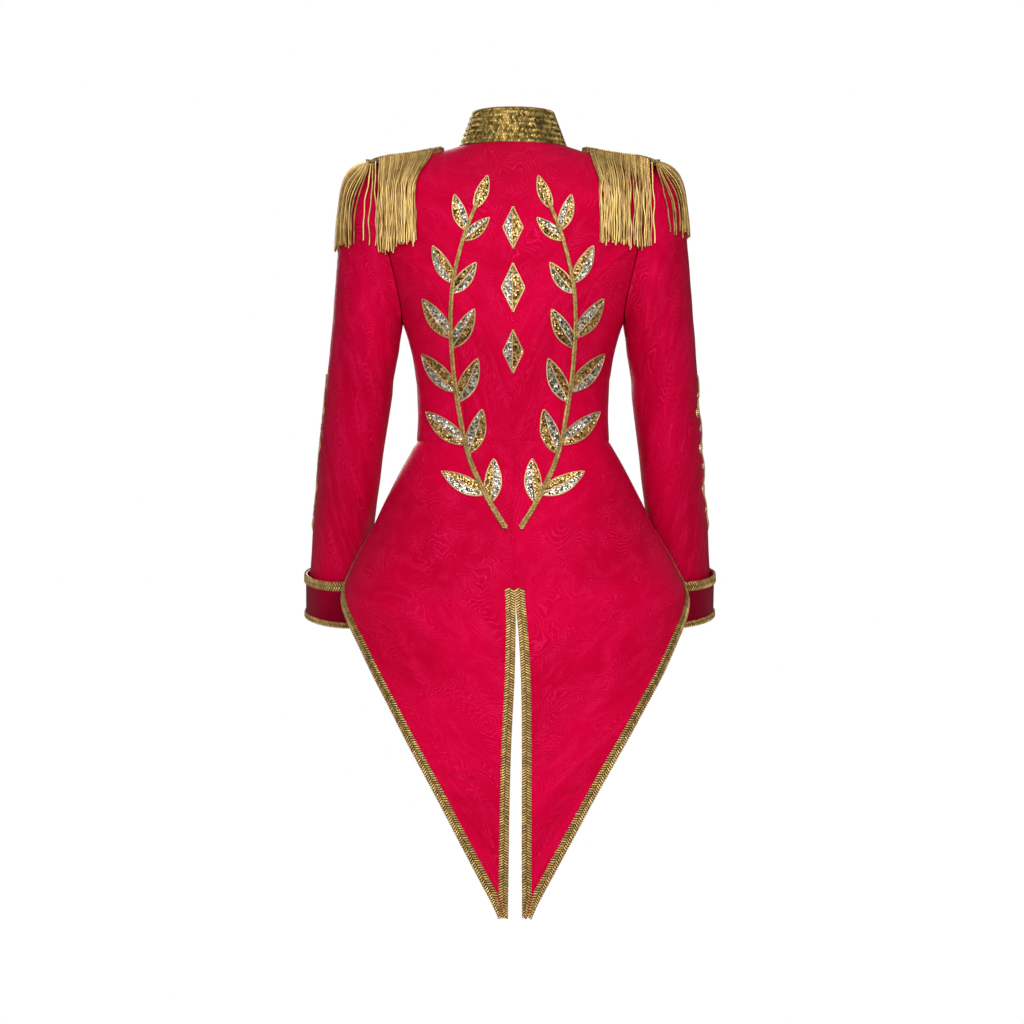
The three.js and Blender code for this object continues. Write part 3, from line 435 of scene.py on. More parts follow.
def cloth_object(name, cloth, uv_start, outside):
    """A closed wall of cloth: its outside and edges in the given cloth, and its inside in lining."""
    m, n = cloth.points.shape[:2]
    inner = cloth.points - cloth.normals * CLOTH
    points = np.concatenate([cloth.points.reshape(-1, 3), inner.reshape(-1, 3)])
    wrapped = np.concatenate([cloth.points, cloth.points[:, :1]], 1) if cloth.closed else cloth.points
    across, down = lengths_along(wrapped, 1), lengths_along(wrapped, 0)
    u = across - across[:, -1:] / 2 + uv_start[0]
    v = -down + uv_start[1]
    faces, uvs, finish = [], [], []

    def corner(i, j, layer):
        uvs.append((u[i, j], v[i, j]))
        return layer * m * n + i * n + j % n

    def face(material, *corners):
        faces.append([corner(*c) for c in corners])
        finish.append(material)

    columns = n if cloth.closed else n - 1
    for i in range(m - 1):
        for j in range(columns):
            face(0, (i, j, 0), (i, j + 1, 0), (i + 1, j + 1, 0), (i + 1, j, 0))
            face(1, (i, j, 1), (i + 1, j, 1), (i + 1, j + 1, 1), (i, j + 1, 1))
    for j in range(columns):
        face(0, (0, j, 1), (0, j + 1, 1), (0, j + 1, 0), (0, j, 0))
        face(0, (m - 1, j, 0), (m - 1, j + 1, 0), (m - 1, j + 1, 1), (m - 1, j, 1))
    if not cloth.closed:
        for i in range(m - 1):
            face(0, (i, 0, 1), (i, 0, 0), (i + 1, 0, 0), (i + 1, 0, 1))
            face(0, (i, n - 1, 0), (i, n - 1, 1), (i + 1, n - 1, 1), (i + 1, n - 1, 0))
    return mesh_object(name, points, faces, uvs, (outside, lining), finish)


def panel(rows, columns):
    """A part of the body between two edges; each row is a level and the two edges' angles."""
    grid = [a + (b - a) * columns for _, a, b in rows]
    points = np.array([body_points(level, g) for (level, _, _), g in zip(rows, grid)])
    normals = np.array([outward(body_points, level, g, 0.1) for (level, _, _), g in zip(rows, grid)])
    return Cloth(points, normals)


def half_seam(level, degrees):
    return degrees_for(bodice_ring(level), degrees, SEAM / 2)


def seam_angle(seam, level, side):
    angle = seam(level)[0]
    return angle + side * half_seam(level, angle)


def along_armhole(step, edge):
    """The level at a step round the armhole, and the angle of its back edge (1) or its front edge (2)."""
    hole = armhole(step)
    return hole[0], hole[edge]


SIDE = 90.0  # the angle of the shoulder line and of the side seam
shoulder_levels = 3 * crowded_ends(14, 0.5)[:-1]
back_rows = [(l, SIDE - half_seam(l, SIDE)) for l in shoulder_levels]
back_rows += [(armhole(s)[0], armhole(s)[1] - 0.05) for s in np.linspace(0.02, 4, 22)]
back_rows += [(l, seam_angle(back_seam, l, -1)) for l in 5.6 + 8.4 * crowded_ends(40, 0.4)[1:]]
front_rows = [(l, SIDE + half_seam(l, SIDE)) for l in shoulder_levels]
front_rows += [(armhole(s)[0], armhole(s)[2] + 0.05) for s in np.linspace(0.02, 5, 26)]
front_rows += [(l, seam_angle(front_seam, l, 1)) for l in 6.8 + 7.2 * crowded_ends(34, 0.4)[1:]]

below_armhole = 9 + 5 * crowded_ends(26, 0.4)
back_side_rows, front_side_rows = [], []
for level, edge in [along_armhole(s, 1) for s in np.linspace(4, 7.9, 16)]:
    back_side_rows.append((level, seam_angle(back_seam, level, 1), edge))
for level, edge in [along_armhole(s, 2) for s in np.linspace(5, 7.9, 12)]:
    front_side_rows.append((level, edge, seam_angle(front_seam, level, -1)))
for level in below_armhole:
    gap = half_seam(level, SIDE)
    back_side_rows.append((level, seam_angle(back_seam, level, 1), SIDE - gap))
    front_side_rows.append((level, SIDE + gap, seam_angle(front_seam, level, -1)))

BACK_CREASES = [
    # x, z, turn, half length, half width, depth
    [118, -150, 55, 40, 9, -2.2],
    [-120, -158, 125, 42, 9, -2.4],
    [96, -96, 40, 34, 10, -1.6],
    [-98, -100, 140, 34, 10, -1.8],
    [58, -372, 8, 46, 6, -1.3],
    [-66, -366, 172, 42, 6, -1.5],
    [-30, -384, 178, 36, 5, -1.0],
    [104, -330, 20, 34, 7, -1.4],
    [-106, -322, 160, 34, 7, -1.6],
]
FRONT_CREASES = [
    [112, -160, 125, 42, 9, -2.2],
    [-114, -152, 55, 42, 9, -2.2],
    [62, -348, 172, 40, 7, -1.6],
    [-58, -340, 8, 40, 7, -1.6],
    [70, -262, 150, 38, 10, -1.6],
    [-72, -258, 30, 38, 10, -1.6],
]


def finished(made, node):
    """Rides on the coat and stands for its node, whose own part is hidden."""
    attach(made, "root")
    if node:
        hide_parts(node)
    return made


cloth_surfaces = {}


def cut_panel(node, cloth, uv_start, flat, area, outside=jacquard):
    cloth_surfaces[node] = cloth
    made = finished(cloth_object(node + "_cloth", cloth, uv_start, outside), node)
    return made


PRESSED = (46, 0.9)  # the size and depth of the unevenness that is left after pressing
back = panel([(l, -edge, edge) for l, edge in back_rows], crowded_ends(76, 0.6))
back = back.creased(BACK_CREASES).uneven(*PRESSED, 3).seamed()
cut_panel("back", back, (0, 0), (0.37, 0.41), 0.108)

columns_of_side = crowded_ends(26, 0.6)
back_side = panel(back_side_rows, columns_of_side).uneven(*PRESSED, 3)
front_side = panel(front_side_rows, columns_of_side).uneven(*PRESSED, 5)
for side, flip in SIDES.items():
    piece = back_side.on(side).creased(BACK_CREASES).seamed()
    cut_panel("back_side_" + side, piece, (flip[0] * 130, -170), (0.14, 0.29), 0.0241)
    piece = front_side.on(side).creased(FRONT_CREASES).seamed()
    cut_panel("front_side_" + side, piece, (flip[0] * 300, -170), (0.13, 0.24), 0.0232)

LAP = 14  # how far each front runs past the middle
LAP_START, LAP_STEP = 2.6, 1.3  # in laps: where the one underneath starts to sink, and over what width
UNDER_LAP = CLOTH + 2 * SEAM + 0.5  # how far the lower front lies below the upper one


def front(underneath):
    """The front of one side; the one underneath sinks below the lap in an easy step."""
    columns = crowded_ends(50, 0.5)
    points, normals = [], []
    for level, edge in front_rows:
        lap = degrees_for(bodice_ring(level), 180, LAP)
        angles = edge + (180 + lap - edge) * columns
        normal = outward(body_points, level, angles, 0.1)
        t = np.clip((angles - (180 - LAP_START * lap)) / (LAP_STEP * lap), 0, 1)
        dip = UNDER_LAP * t * t * (3 - 2 * t) if underneath else 0 * t
        points.append(body_points(level, angles) - normal * dip[:, None])
        normals.append(normal)
    return Cloth(np.array(points), np.array(normals)).uneven(*PRESSED, 5)


for side, flip in SIDES.items():
    piece = front(side == "left").on(side).creased(FRONT_CREASES).seamed()
    cut_panel("front_" + side, piece, (flip[0] * 230, 0), (0.24, 0.4), 0.06)


# The tails: a pair of flared panels from the waist seam, sewn together down the centre back to the top
# of the vent, and cut away in a curve from the front of the waist to a blunt point behind.
WAIST, POINT = -393.4, -1006
VENT_TOP = -585
skirt_ring = smooth_table(
    [
        # height, half width, depth behind, depth in front
        [-393.4, 128.3, 80.3, 98.3],
        [-430, 149, 91, 108],
        [-470, 170, 102, 118],
        [-515, 192, 113, 127],
        [-560, 216, 122, 133],
        [-595, 230, 128, 137],
        [-640, 237, 133, 140],
        [-730, 242, 137, 143],
        [-860, 245, 139, 145],
        [-1006, 247, 140, 146],
    ]
)
tail_edge = smooth_table(
    [
        # height, angle of the cutaway edge, half the vent's gap
        [-393.4, 151, 0.15],
        [-412, 141, 0.15],
        [-436, 129, 0.15],
        [-462, 118, 0.15],
        [-490, 106.6, 0.15],
        [-520, 99.8, 0.15],
        [-550, 97.6, 0.15],
        [-572, 95.2, 0.15],
        [-584, 89.4, 0.2],
        [-600, 80.5, 0.3],
        [-622, 69.8, 1],
        [-655, 58.4, 2.6],
        [-700, 48.4, 4.3],
        [-750, 39.2, 6.1],
        [-805, 30.8, 7.3],
        [-860, 23, 8],
        [-915, 16, 8.4],
        [-960, 10.3, 8.8],
        [-988, 6.8, 9.1],
        [-1006, 4.9, 9.4],
    ]
)
tail_sway = smooth_table(  # how far it hangs to the wearer's right, by height
    [[-440, 0], [-560, -1], [-600, -3], [-640, -5], [-700, -6], [-800, -4.2], [-900, -3], [-1010, -2.5]]
)
TAIL_WAVES = [
    # height, angle, half height, half angle, depth
    [-700, 30, 70, 12, 3.5],
    [-800, 14, 50, 9, -2.5],
    [-560, 62, 60, 16, -3],
]
TAIL_CREASES = [
    [65, -832, 8, 20, 5, -2.6],
    [70, -818, 6, 24, 7, 2.0],
    [52, -862, 6, 22, 5, -2.6],
    [58, -848, 8, 24, 6, 1.6],
    [-55, -800, 150, 15, 5, -2.6],
    [-48, -790, 152, 20, 6, 1.8],
    [-72, -848, 172, 16, 5, -2.2],
    [-66, -838, 172, 18, 6, 1.6],
    [110, -690, 60, 60, 14, -2.0],
    [-106, -700, 118, 62, 13, -2.2],
    [60, -930, 70, 46, 6, -1.4],
    [-44, -936, 108, 44, 6, -1.4],
    [38, -640, 84, 52, 9, -1.6],
    [-34, -650, 95, 56, 9, -1.8],
    [86, -560, 76, 70, 16, 1.8],
    [-90, -556, 104, 70, 16, 1.8],
    [-140, -620, 115, 40, 9, -1.6],
    [148, -612, 66, 40, 9, -1.6],
]


def tail_points(z, degrees):
    half_width, back_depth, front_depth = skirt_ring(z)
    degrees = np.asarray(degrees, float)
    points = ring_points((half_width, back_depth, front_depth, z, z, z), degrees)
    for height, angle, half_height, half_angle, depth in TAIL_WAVES:
        fall = np.exp(-(((z - height) / half_height) ** 2) - ((degrees - angle) / half_angle) ** 2)
        points[..., 1] += depth * fall
    return points


def tail_span(z, degrees):
    a, b = tail_points(z, [degrees - 0.5, degrees + 0.5])
    return np.linalg.norm(a - b)


def vent_angle(z):
    half_gap = tail_edge(z)[1] if z < VENT_TOP else 0.02
    return math.degrees(math.asin(half_gap / skirt_ring(z)[0]))


def edge_braid_angle(z, width):
    """The angle that lies a width inside the cutaway edge, measured square to the edge."""
    angle = tail_edge(z)[0]
    above, below = (tail_points(y, tail_edge(y)[0]) for y in (min(z + 6, WAIST), max(z - 6, POINT)))
    along = unit(below - above)
    a, b = tail_points(z, [angle - 0.5, angle + 0.5])
    slant = max(np.linalg.norm(np.cross(along, unit(b - a))), 0.2)
    return angle - width / slant / np.linalg.norm(b - a)


def with_sway(cloth, sway):
    """The same cloth hung a little to one side."""
    points = cloth.points.copy()
    points[..., 0] += np.vectorize(lambda z: sway(z)[0])(points[..., 2])
    return Cloth(points, cloth.normals, cloth.closed)


tail_heights = WAIST + (POINT + 1.2 - WAIST) * crowded_ends(118, 0.25)
tail_columns = crowded_ends(64, 0.6)
tail_grid = [vent_angle(z) + (tail_edge(z)[0] - vent_angle(z)) * tail_columns for z in tail_heights]
tail = Cloth(
    np.array([tail_points(z, g) for z, g in zip(tail_heights, tail_grid)]),
    np.array([outward(tail_points, z, g, -4) for z, g in zip(tail_heights, tail_grid)]),
)
centre_seam = tail_heights > VENT_TOP
tail.points[centre_seam, 0, 0] = -0.05
tail.normals[centre_seam, 0, 0] = 0
tail.points[0, :, 2] += 0.6  # up under the bodice, as a seam lies
tail = Cloth(tail.points, unit(tail.normals)).uneven(60, 1.3, 9)
for side, flip in SIDES.items():
    piece = with_sway(tail.on(side), tail_sway).creased(TAIL_CREASES).seamed(sides=("top",))
    sewn = piece.seamed(sides=(side,))  # the left tail's inner edge is its left one
    seam_rows = (tail_heights > VENT_TOP - 1)[:, None, None]
    piece = Cloth(np.where(seam_rows, sewn.points, piece.points), piece.normals)
    cut_panel("tail_" + side, piece, (flip[0] * 160, -420), (0.42, 0.63), 0.115)


# The sleeves: set in at a squared shoulder, bent a little forward at the elbow, with a few soft creases
# at the underarm and the elbow. The turn-back cuff stands off each one at its hem.
SLEEVE_RINGS = [
    # outermost x and z, innermost x and z, middle y, reach behind, reach in front, lean
    [204, -26.5, 147.4, -241, 0, 62, 76, 0],
    [216, -37, 148, -246, 0, 62, 74, 0],
    [223.5, -56, 149, -252, 0, 61.5, 72, 0],
    [227.5, -84, 150, -259, 0, 61, 69, 0],
    [231.5, -122, 151, -269, 0, 60, 66, 0],
    [236, -172, 153, -284, -1, 58, 62, 0.02],
    [240.5, -228, 156, -308, -3, 56, 58, 0.04],
    [246, -290, 161, -343, -7, 53, 55, 0.08],
    [252, -352, 168, -388, -16, 50, 52, 0.13],
    [258.5, -414, 175, -438, -31, 48, 49, 0.18],
    [264.5, -474, 182, -490, -48, 46, 46, 0.21],
    [269.5, -530, 188, -542, -64, 44, 44, 0.23],
    [273, -580, 191.5, -590, -77, 42.5, 42.5, 0.23],
    [275.5, -626, 194, -636, -88, 41.5, 41.5, 0.23],
]
SLEEVE_COLUMNS = 72
SLEEVE_STEPS = 16  # round the arm, from the outside by way of the front
SLEEVE_FOLDS = [
    # ring, column, half length in rings, half width in columns, depth
    [5.5, 11.5, 1.6, 1.2, -3],
    [8.6, 13.2, 1.0, 1.8, -2.5],
    [9.6, 4.0, 0.9, 2.0, -2.5],
    [3.4, 14.6, 1.6, 1.2, 2],
    [6.4, 9.6, 0.5, 1.6, -2.2],
    [7.1, 9.0, 0.4, 1.8, -1.8],
    [8.2, 10.4, 0.35, 1.6, -2.0],
    [9.0, 10.8, 0.35, 1.6, -1.8],
    [10.2, 12.6, 1.4, 0.9, -1.4],
    [11.2, 15.0, 1.5, 0.9, -1.2],
    [4.6, 13.6, 1.0, 0.8, -1.4],
]
sleeve_sway = smooth_table([[-250, 0], [-320, 1.2], [-400, 2.6], [-480, 3.3], [-640, 4.5]])
sleeve_turn = np.arange(SLEEVE_COLUMNS) * SLEEVE_STEPS / SLEEVE_COLUMNS


def armhole_point(column):
    behind = column > 8
    level, back_angle, front_angle = armhole(SLEEVE_STEPS - column if behind else column)
    return body_points(level, back_angle if behind else front_angle) + np.array([SEAM + 0.1, 0, 0])


def sleeve_ring_points(ring):
    x_out, z_out, x_in, z_in, y, behind, in_front, lean = ring
    angle = -2 * math.pi * sleeve_turn / SLEEVE_STEPS
    c, s = np.cos(angle), np.sin(angle)
    depth = np.where(s > 0, behind, in_front) * s
    share = (1 + c) / 2
    height = z_in + (z_out - z_in) * share - depth * lean
    return np.stack([x_in + (x_out - x_in) * share, y + depth, height], -1)


def grid_normals(points):
    across = np.roll(points, -1, 1) - np.roll(points, 1, 1)
    down = np.gradient(points, axis=0)
    return unit(np.cross(across, down))


sleeve_head = [armhole_point(c) for c in sleeve_turn]
ring_rows = np.array([sleeve_head] + [sleeve_ring_points(r) for r in SLEEVE_RINGS])
along_sleeve = smooth_table([[i, *row.ravel()] for i, row in enumerate(ring_rows)])
ring_numbers = np.concatenate([np.linspace(0, 4, 22)[:-1], np.linspace(4, 14, 62)])
sleeve_points = np.array([along_sleeve(r).reshape(-1, 3) for r in ring_numbers])
sleeve = Cloth(sleeve_points, grid_normals(sleeve_points), closed=True)
fold_depth = np.zeros(sleeve_points.shape[:2])
for ring, column, length, width, depth in SLEEVE_FOLDS:
    across = (sleeve_turn[None] - column + 8) % SLEEVE_STEPS - 8
    down = ring_numbers[:, None] - ring
    fold_depth += depth * np.exp(-((down / length) ** 2) - (across / width) ** 2)
sleeve = sleeve.moved(fold_depth * np.clip(ring_numbers[:, None], 0, 1))
sleeve = sleeve.uneven(48, 1.2, 13).seamed(sides=("top",))
sleeve = Cloth(sleeve.points, grid_normals(sleeve.points), closed=True)

CUFF_TOP = 67
CUFF_DIP = 0.11  # fall of its top towards the outside of the arm, per millimetre across
CUFF_DIP_START = 205
cuff_off = smooth_table([[0, 3.0], [7, 3.2], [55, 5.4], [CUFF_TOP, 6.2]])  # from the sleeve, by height
lower, upper = sleeve.points[-1], sleeve.points[np.searchsorted(ring_numbers, 13)]
lower_out, upper_out = sleeve.normals[-1], sleeve.normals[np.searchsorted(ring_numbers, 13)]
hem_length = np.linalg.norm(upper[0] - lower[0])


def cuff_row(height):
    f = height / hem_length
    out = unit(lower_out + (upper_out - lower_out) * min(f, 1))
    points = lower + (upper - lower) * f + out * cuff_off(height)[0]
    points[:, 2] -= CUFF_DIP * height / CUFF_TOP * np.maximum(points[:, 0] - CUFF_DIP_START, 0)
    return points, out


cuff_points, cuff_out = zip(*[cuff_row(h) for h in np.linspace(CUFF_TOP, 0, 22)])
cuff = Cloth(np.array(cuff_points), np.array(cuff_out), closed=True)
# Painted shade: the cuffs are the coat's jacquard with all its reds painted about 0.4 times as bright, as
# shade, and made glossier.
cuff_shaded_reds = ((0.18, 0.0, 0.01), (0.23, 0.0, 0.013), (0.28, 0.002, 0.02))
cuff_shaded_satin = jacquard_material("cuff_shaded_satin", *cuff_shaded_reds, rough=0.3)
for side, flip in SIDES.items():
    for node, cloth, flat, area, fall, outside in (
        ("sleeve_", sleeve, (0.38, 0.63), 0.162, 0, sleeve_shaded_jacquard),
        ("cuff_", cuff, (0.3, 0.068), 0.0188, -560, cuff_shaded_satin),
    ):
        piece = with_sway(cloth.on(side), sleeve_sway)
        cut_panel(node + side, piece, (flip[0] * 500, fall), flat, area, outside)


# The stand collar: a narrow band of interlined cloth that leans in to the neck, hooked edge to edge in
# front. The gold braid covers all but a thin line of red along its top.
COLLAR_TOP = (53, 49, 51, 45, 46, -3)
COLLAR_END = 178.4
COLLAR_ROWS = 6  # of braid
collar_angles = np.linspace(-COLLAR_END, COLLAR_END, 110)


def collar_rows(share):
    top = ring_points(COLLAR_TOP, collar_angles)
    foot = ring_points(bodice_ring(0), collar_angles) - np.array([0, 0, 0.6])
    return top + (foot - top) * share


collar_points = np.array([collar_rows(f) for f in np.linspace(-0.03, 1, 14)])
collar_down = np.gradient(collar_points, axis=0)
collar_across = np.gradient(collar_points, axis=1)
collar = Cloth(collar_points, unit(np.cross(collar_across, collar_down)))
cut_panel("collar", collar, (0, 60), (0.41, 0.05), 0.0187)


# Gold braid: a flat tape of metal thread, woven in two columns of slanted loops that meet in a chevron.
# It is sewn flat along the cutaway edges, the vent and the cuffs, and in six rows round the collar.
def quads(m, n, closed=False):
    """The faces of a grid of points whose rows run down."""
    i, j = (g.ravel() for g in np.mgrid[0 : m - 1, 0 : n if closed else n - 1])
    k = (j + 1) % n
    return np.stack([i * n + j, i * n + k, (i + 1) * n + k, (i + 1) * n + j], -1)


class Joined:
    """Parts built from arrays and joined in one mesh. On threads U is the way along in millimetres, and
    V is the thread's number plus the turn round it."""

    def __init__(self):
        self.points, self.faces, self.uvs, self.finish, self.count = [], [], [], [], 0

    def add(self, points, faces, uvs, finish):
        points = points.reshape(-1, 3)
        self.points.append(points)
        self.faces += (np.asarray(faces) + self.count).tolist()
        self.uvs.append(np.asarray(uvs, float).reshape(-1, 2))
        self.finish += [finish] * len(faces)
        self.count += len(points)

    def threads(self, lines, up, wide, high=None, sides=6, finish=0):
        """Round or flattened threads along lines of equal counts, with blunt ends."""
        count, steps = lines.shape[:2]
        wide = np.broadcast_to(np.asarray(wide, float), (count, steps))
        high = wide if high is None else np.broadcast_to(np.asarray(high, float), (count, steps))
        along = unit(np.gradient(lines, axis=1))
        beside = unit(np.cross(along, np.broadcast_to(up, lines.shape)))
        above = np.cross(beside, along)
        turn = 2 * math.pi * np.arange(sides) / sides
        ring = lines[:, :, None] + beside[:, :, None] * (wide[..., None] * np.cos(turn))[..., None]
        ring = ring + above[:, :, None] * (high[..., None] * np.sin(turn))[..., None]
        a, i, j = np.meshgrid(np.arange(count), np.arange(steps - 1), np.arange(sides), indexing="ij")

        def index(i, j):
            return (a * steps + i) * sides + j % sides

        arc = lengths_along(lines, 1) + 900 * ((np.arange(count)[:, None] * 0.618034) % 1)
        u = np.stack([arc[a, i], arc[a, i], arc[a, i + 1], arc[a, i + 1]], -1)
        numbers = np.arange(count) + self.count % 997
        v = numbers[a][..., None] + np.stack([j, j + 1, j + 1, j], -1) / sides
        faces = np.stack([index(i, j), index(i, j + 1), index(i + 1, j + 1), index(i + 1, j)], -1)
        start = self.count
        self.add(ring, faces.reshape(-1, 4), np.stack([u, v], -1), finish)
        ends = np.arange(count)[:, None] * steps * sides + np.arange(sides)
        caps = np.concatenate([ends[:, ::-1], ends + (steps - 1) * sides]) + start
        self.faces += caps.tolist()
        tips = np.stack([np.concatenate([arc[:, 0], arc[:, -1]]), np.tile(numbers + 0.25, 2)], -1)
        self.uvs.append(np.repeat(tips, sides, axis=0))
        self.finish += [finish] * len(caps)

    def wall(self, points, normals, thickness, finish=0, closed=False):
        """A closed wall below a grid of points; rows run down and columns towards the right."""
        m, n = points.shape[:2]
        arc, fall = lengths_along(points, 1), lengths_along(points, 0)
        place = np.stack([arc, -fall], -1).reshape(-1, 2)
        place = np.concatenate([place, place])
        top, low, last = quads(m, n, closed), m * n, (m - 1) * n
        j = np.arange(n if closed else n - 1)
        k = (j + 1) % n
        faces = [top, top[:, ::-1] + low, np.stack([low + j, low + k, k, j], -1)]
        faces.append(np.stack([last + j, last + k, low + last + k, low + last + j], -1))
        if not closed:
            i = np.arange(m - 1) * n
            faces.append(np.stack([low + i, i, i + n, low + i + n], -1))
            e = i + n - 1
            faces.append(np.stack([e, low + e, low + e + n, e + n], -1))
        faces = np.concatenate(faces)
        thickness = np.asarray(thickness, float)[..., None]
        both = np.concatenate([points.reshape(-1, 3), (points - normals * thickness).reshape(-1, 3)])
        self.add(both, faces, place[faces], finish)

    def made(self, name, materials, sharp=50):
        points, uvs = np.concatenate(self.points), np.concatenate(self.uvs)
        return mesh_object(name, points, self.faces, uvs, materials, self.finish, sharp)


def twisted_thread_group():
    """Metal thread wound round a core: slanting turns along a thread, with the light and shade of each turn
    painted in, and a painted shine that varies in spots, along the thread, and from one thread to the next."""
    group, given, result = node_group(
        "twisted thread",
        [
            ("Place", "NodeSocketVector", None),
            ("Turns per mm", "NodeSocketFloat", 0.5),
            ("Spotted shine", "NodeSocketFloat", 0.3),
        ],
        [("Light", "NodeSocketFloat"), ("Height", "NodeSocketFloat")],
    )
    w = Wiring(group)
    parts = w.put("SeparateXYZ", i0=given.outputs["Place"])
    turns = w.maths("MULTIPLY_ADD", parts.outputs[0], given.outputs["Turns per mm"], parts.outputs[1])
    wave = w.maths("MULTIPLY_ADD", w.maths("SINE", w.maths("MULTIPLY", turns, 2 * math.pi)), 0.5, 0.5)
    grain = w.specks(given.outputs["Place"], 0.9, 3.0)
    slow = w.put("TexNoise", {"noise_dimensions": "1D"}, W=parts.outputs[0], Scale=0.064, Detail=1.0)
    own = w.put("TexWhiteNoise", {"noise_dimensions": "1D"}, W=w.maths("FLOOR", parts.outputs[1]))
    # Painted shine: the brightness changes at random from thread to thread and slowly along each one, as
    # glints on metal.
    uneven = w.maths("MULTIPLY", w.steps(slow.outputs["Fac"], 0.34, 0.64), 0.3)
    uneven = w.maths("MULTIPLY_ADD", w.steps(own.outputs["Value"], 0.1, 0.9), 0.7, uneven)
    # Painted light and shade of the turns: a bright crest and a dark groove on each turn, with fine specks.
    fine = w.maths("MULTIPLY_ADD", wave, 0.6, w.maths("MULTIPLY", w.steps(grain, 0.35, 0.65), 0.4))
    light = w.put("Mix", {"data_type": "FLOAT"}, i0=given.outputs["Spotted shine"], i2=fine, i3=uneven)
    w.feed(result, {"Light": light.outputs[0], "Height": w.maths("MULTIPLY_ADD", grain, 0.3, wave)})
    return group


twisted_thread = twisted_thread_group()


def metal_thread_material(name, dark, bright, turns, depth, metal=0.75, rough=0.42, side_shade=0.0, uneven=0.3):
    """Painted shade darkens the thread down its sides, by the given share, where the next one shades it."""
    material, w, shader = new_material(name)
    place = w.cloth_place()
    thread = w.put("Group", {"node_tree": twisted_thread}, Place=place)
    w.feed(thread, {"Turns per mm": turns, "Spotted shine": uneven})
    # The colour runs from dark to bright with the painted light of the turns and the painted shine.
    colour = w.blend(thread.outputs["Light"], dark, bright)
    # Painted shade: the colour darkens down both sides of the thread and stays full on its top and
    # underside.
    if side_shade:
        round_it = w.put("SeparateXYZ", i0=place).outputs[1]
        side = w.maths("ABSOLUTE", w.maths("SINE", w.maths("MULTIPLY", round_it, 2 * math.pi)))
        top = w.steps(side, 0.2, 0.9, 1 - side_shade, 1.0)
        colour = w.put("VectorMath", {"operation": "SCALE"}, i0=colour, Scale=top).outputs[0]
    bump = w.bump(thread.outputs["Height"], 0.7, depth * 0.001)
    w.feed(shader, {"Base Color": colour, "Normal": bump, "Metallic": metal, "Roughness": rough})
    return material


braid_gold = metal_thread_material(
    "braid_gold", (0.15, 0.052, 0.006), (1.0, 0.68, 0.22), 0.7, 0.25, 0.45, 0.3, side_shade=0.76, uneven=0.45
)
collar_gold = metal_thread_material(
    "collar_gold", (0.05, 0.02, 0.002), (1.0, 0.71, 0.2), 0.7, 0.25, 0.75, 0.27, side_shade=0.9, uneven=0.8
)
# Painted shade: the braid's tape, which shows between the loops, is painted near-black as the shade between
# them.
shaded_tape_gold = metal_thread_material("shaded_tape_gold", (0.02, 0.009, 0.002), (0.1, 0.055, 0.012), 1.1, 0.2)
cord_gold = metal_thread_material("cord_gold", (0.3, 0.17, 0.05), (1.0, 0.78, 0.42), 0.45, 0.3)


def surface_tree(*nodes):
    """The outsides of some pieces of cloth, for finding where a trim lies on them."""
    points, faces, start = [], [], 0
    for node in nodes:
        cloth = cloth_surfaces[node]
        faces.append(start + quads(*cloth.points.shape[:2], cloth.closed))
        points.append(cloth.points.reshape(-1, 3))
        start += len(points[-1])
    return BVHTree.FromPolygons(np.concatenate(points).tolist(), np.concatenate(faces).tolist())


def laid_on(tree, points, normals, reach=9.0):
    """Moves each point along its normal until it lies on the cloth."""
    laid = []
    for p, n in zip(points.reshape(-1, 3), normals.reshape(-1, 3)):
        hit = tree.ray_cast(Vector(p + n * reach), Vector(-n), 2 * reach)[0]
        laid.append(p if hit is None else hit)
    return np.array([list(p) for p in laid]).reshape(points.shape)


def read_along(arc, values, where):
    return np.stack([np.interp(where, arc, values[:, k]) for k in range(values.shape[1])], -1)


def lay_braid(made, middle, out, width, closed=False, pitch=3.3, lift=0.4, thick=0.7, slant=3.0):
    """A tape with chevron loops along a line on the cloth; width is a number or one for each point."""
    width = np.broadcast_to(np.asarray(width, float), len(middle))
    if closed:
        middle, out, width = (np.concatenate([a, a[:1]]) for a in (middle, out, width))
    arc = lengths_along(middle, 0)
    length = arc[-1]
    loops = max(int(round(length / pitch)), 2)
    step = length / loops
    stations = np.linspace(0, length, 2 * loops + 1)[: -1 if closed else None]

    def frame_at(where):
        where = where % length if closed else np.clip(where, 0, length)
        flat = where.ravel()
        ahead = (flat + 1.5) % length if closed else np.minimum(flat + 1.5, length)
        behind = (flat - 1.5) % length if closed else np.maximum(flat - 1.5, 0)
        p, n = read_along(arc, middle, flat), unit(read_along(arc, out, flat))
        along = unit(read_along(arc, middle, ahead) - read_along(arc, middle, behind))
        across = unit(np.cross(n, along))
        w = np.interp(flat, arc, width)
        return (a.reshape(where.shape + a.shape[1:]) for a in (p, n, across, w))

    p, n, across, w = frame_at(stations)
    shares = np.array([-1, -0.5, 0, 0.5, 1])
    tape = p[None] + across[None] * (shares[:, None] * (w / 2 - 0.5))[..., None]
    tape = tape + n[None] * (lift + thick - 0.25 * np.abs(shares))[:, None, None]
    normals = np.broadcast_to(n[None], tape.shape)
    made.wall(tape[::-1], normals, np.full(tape.shape[:2], thick), 1, closed)
    t = np.linspace(0, 1, 5)
    for side in (-1, 1):
        where = (np.arange(loops) + (0.5 if side > 0 else 0.0))[:, None] * step + slant * t
        p, n, across, w = frame_at(where)
        reach = 0.2 + (w / 2 + 0.2) * t
        rise = lift + thick + 0.6 * np.sin(math.pi * (0.1 + 0.8 * t)) - 0.3 * t
        lines = p + across * (side * reach)[..., None] + n * rise[..., None]
        wide = step * np.array([0.25, 0.37, 0.4, 0.37, 0.22])
        made.threads(lines, n, wide, 0.95 * np.array([0.7, 1, 1, 1, 0.6]), 6, 0)
    return made


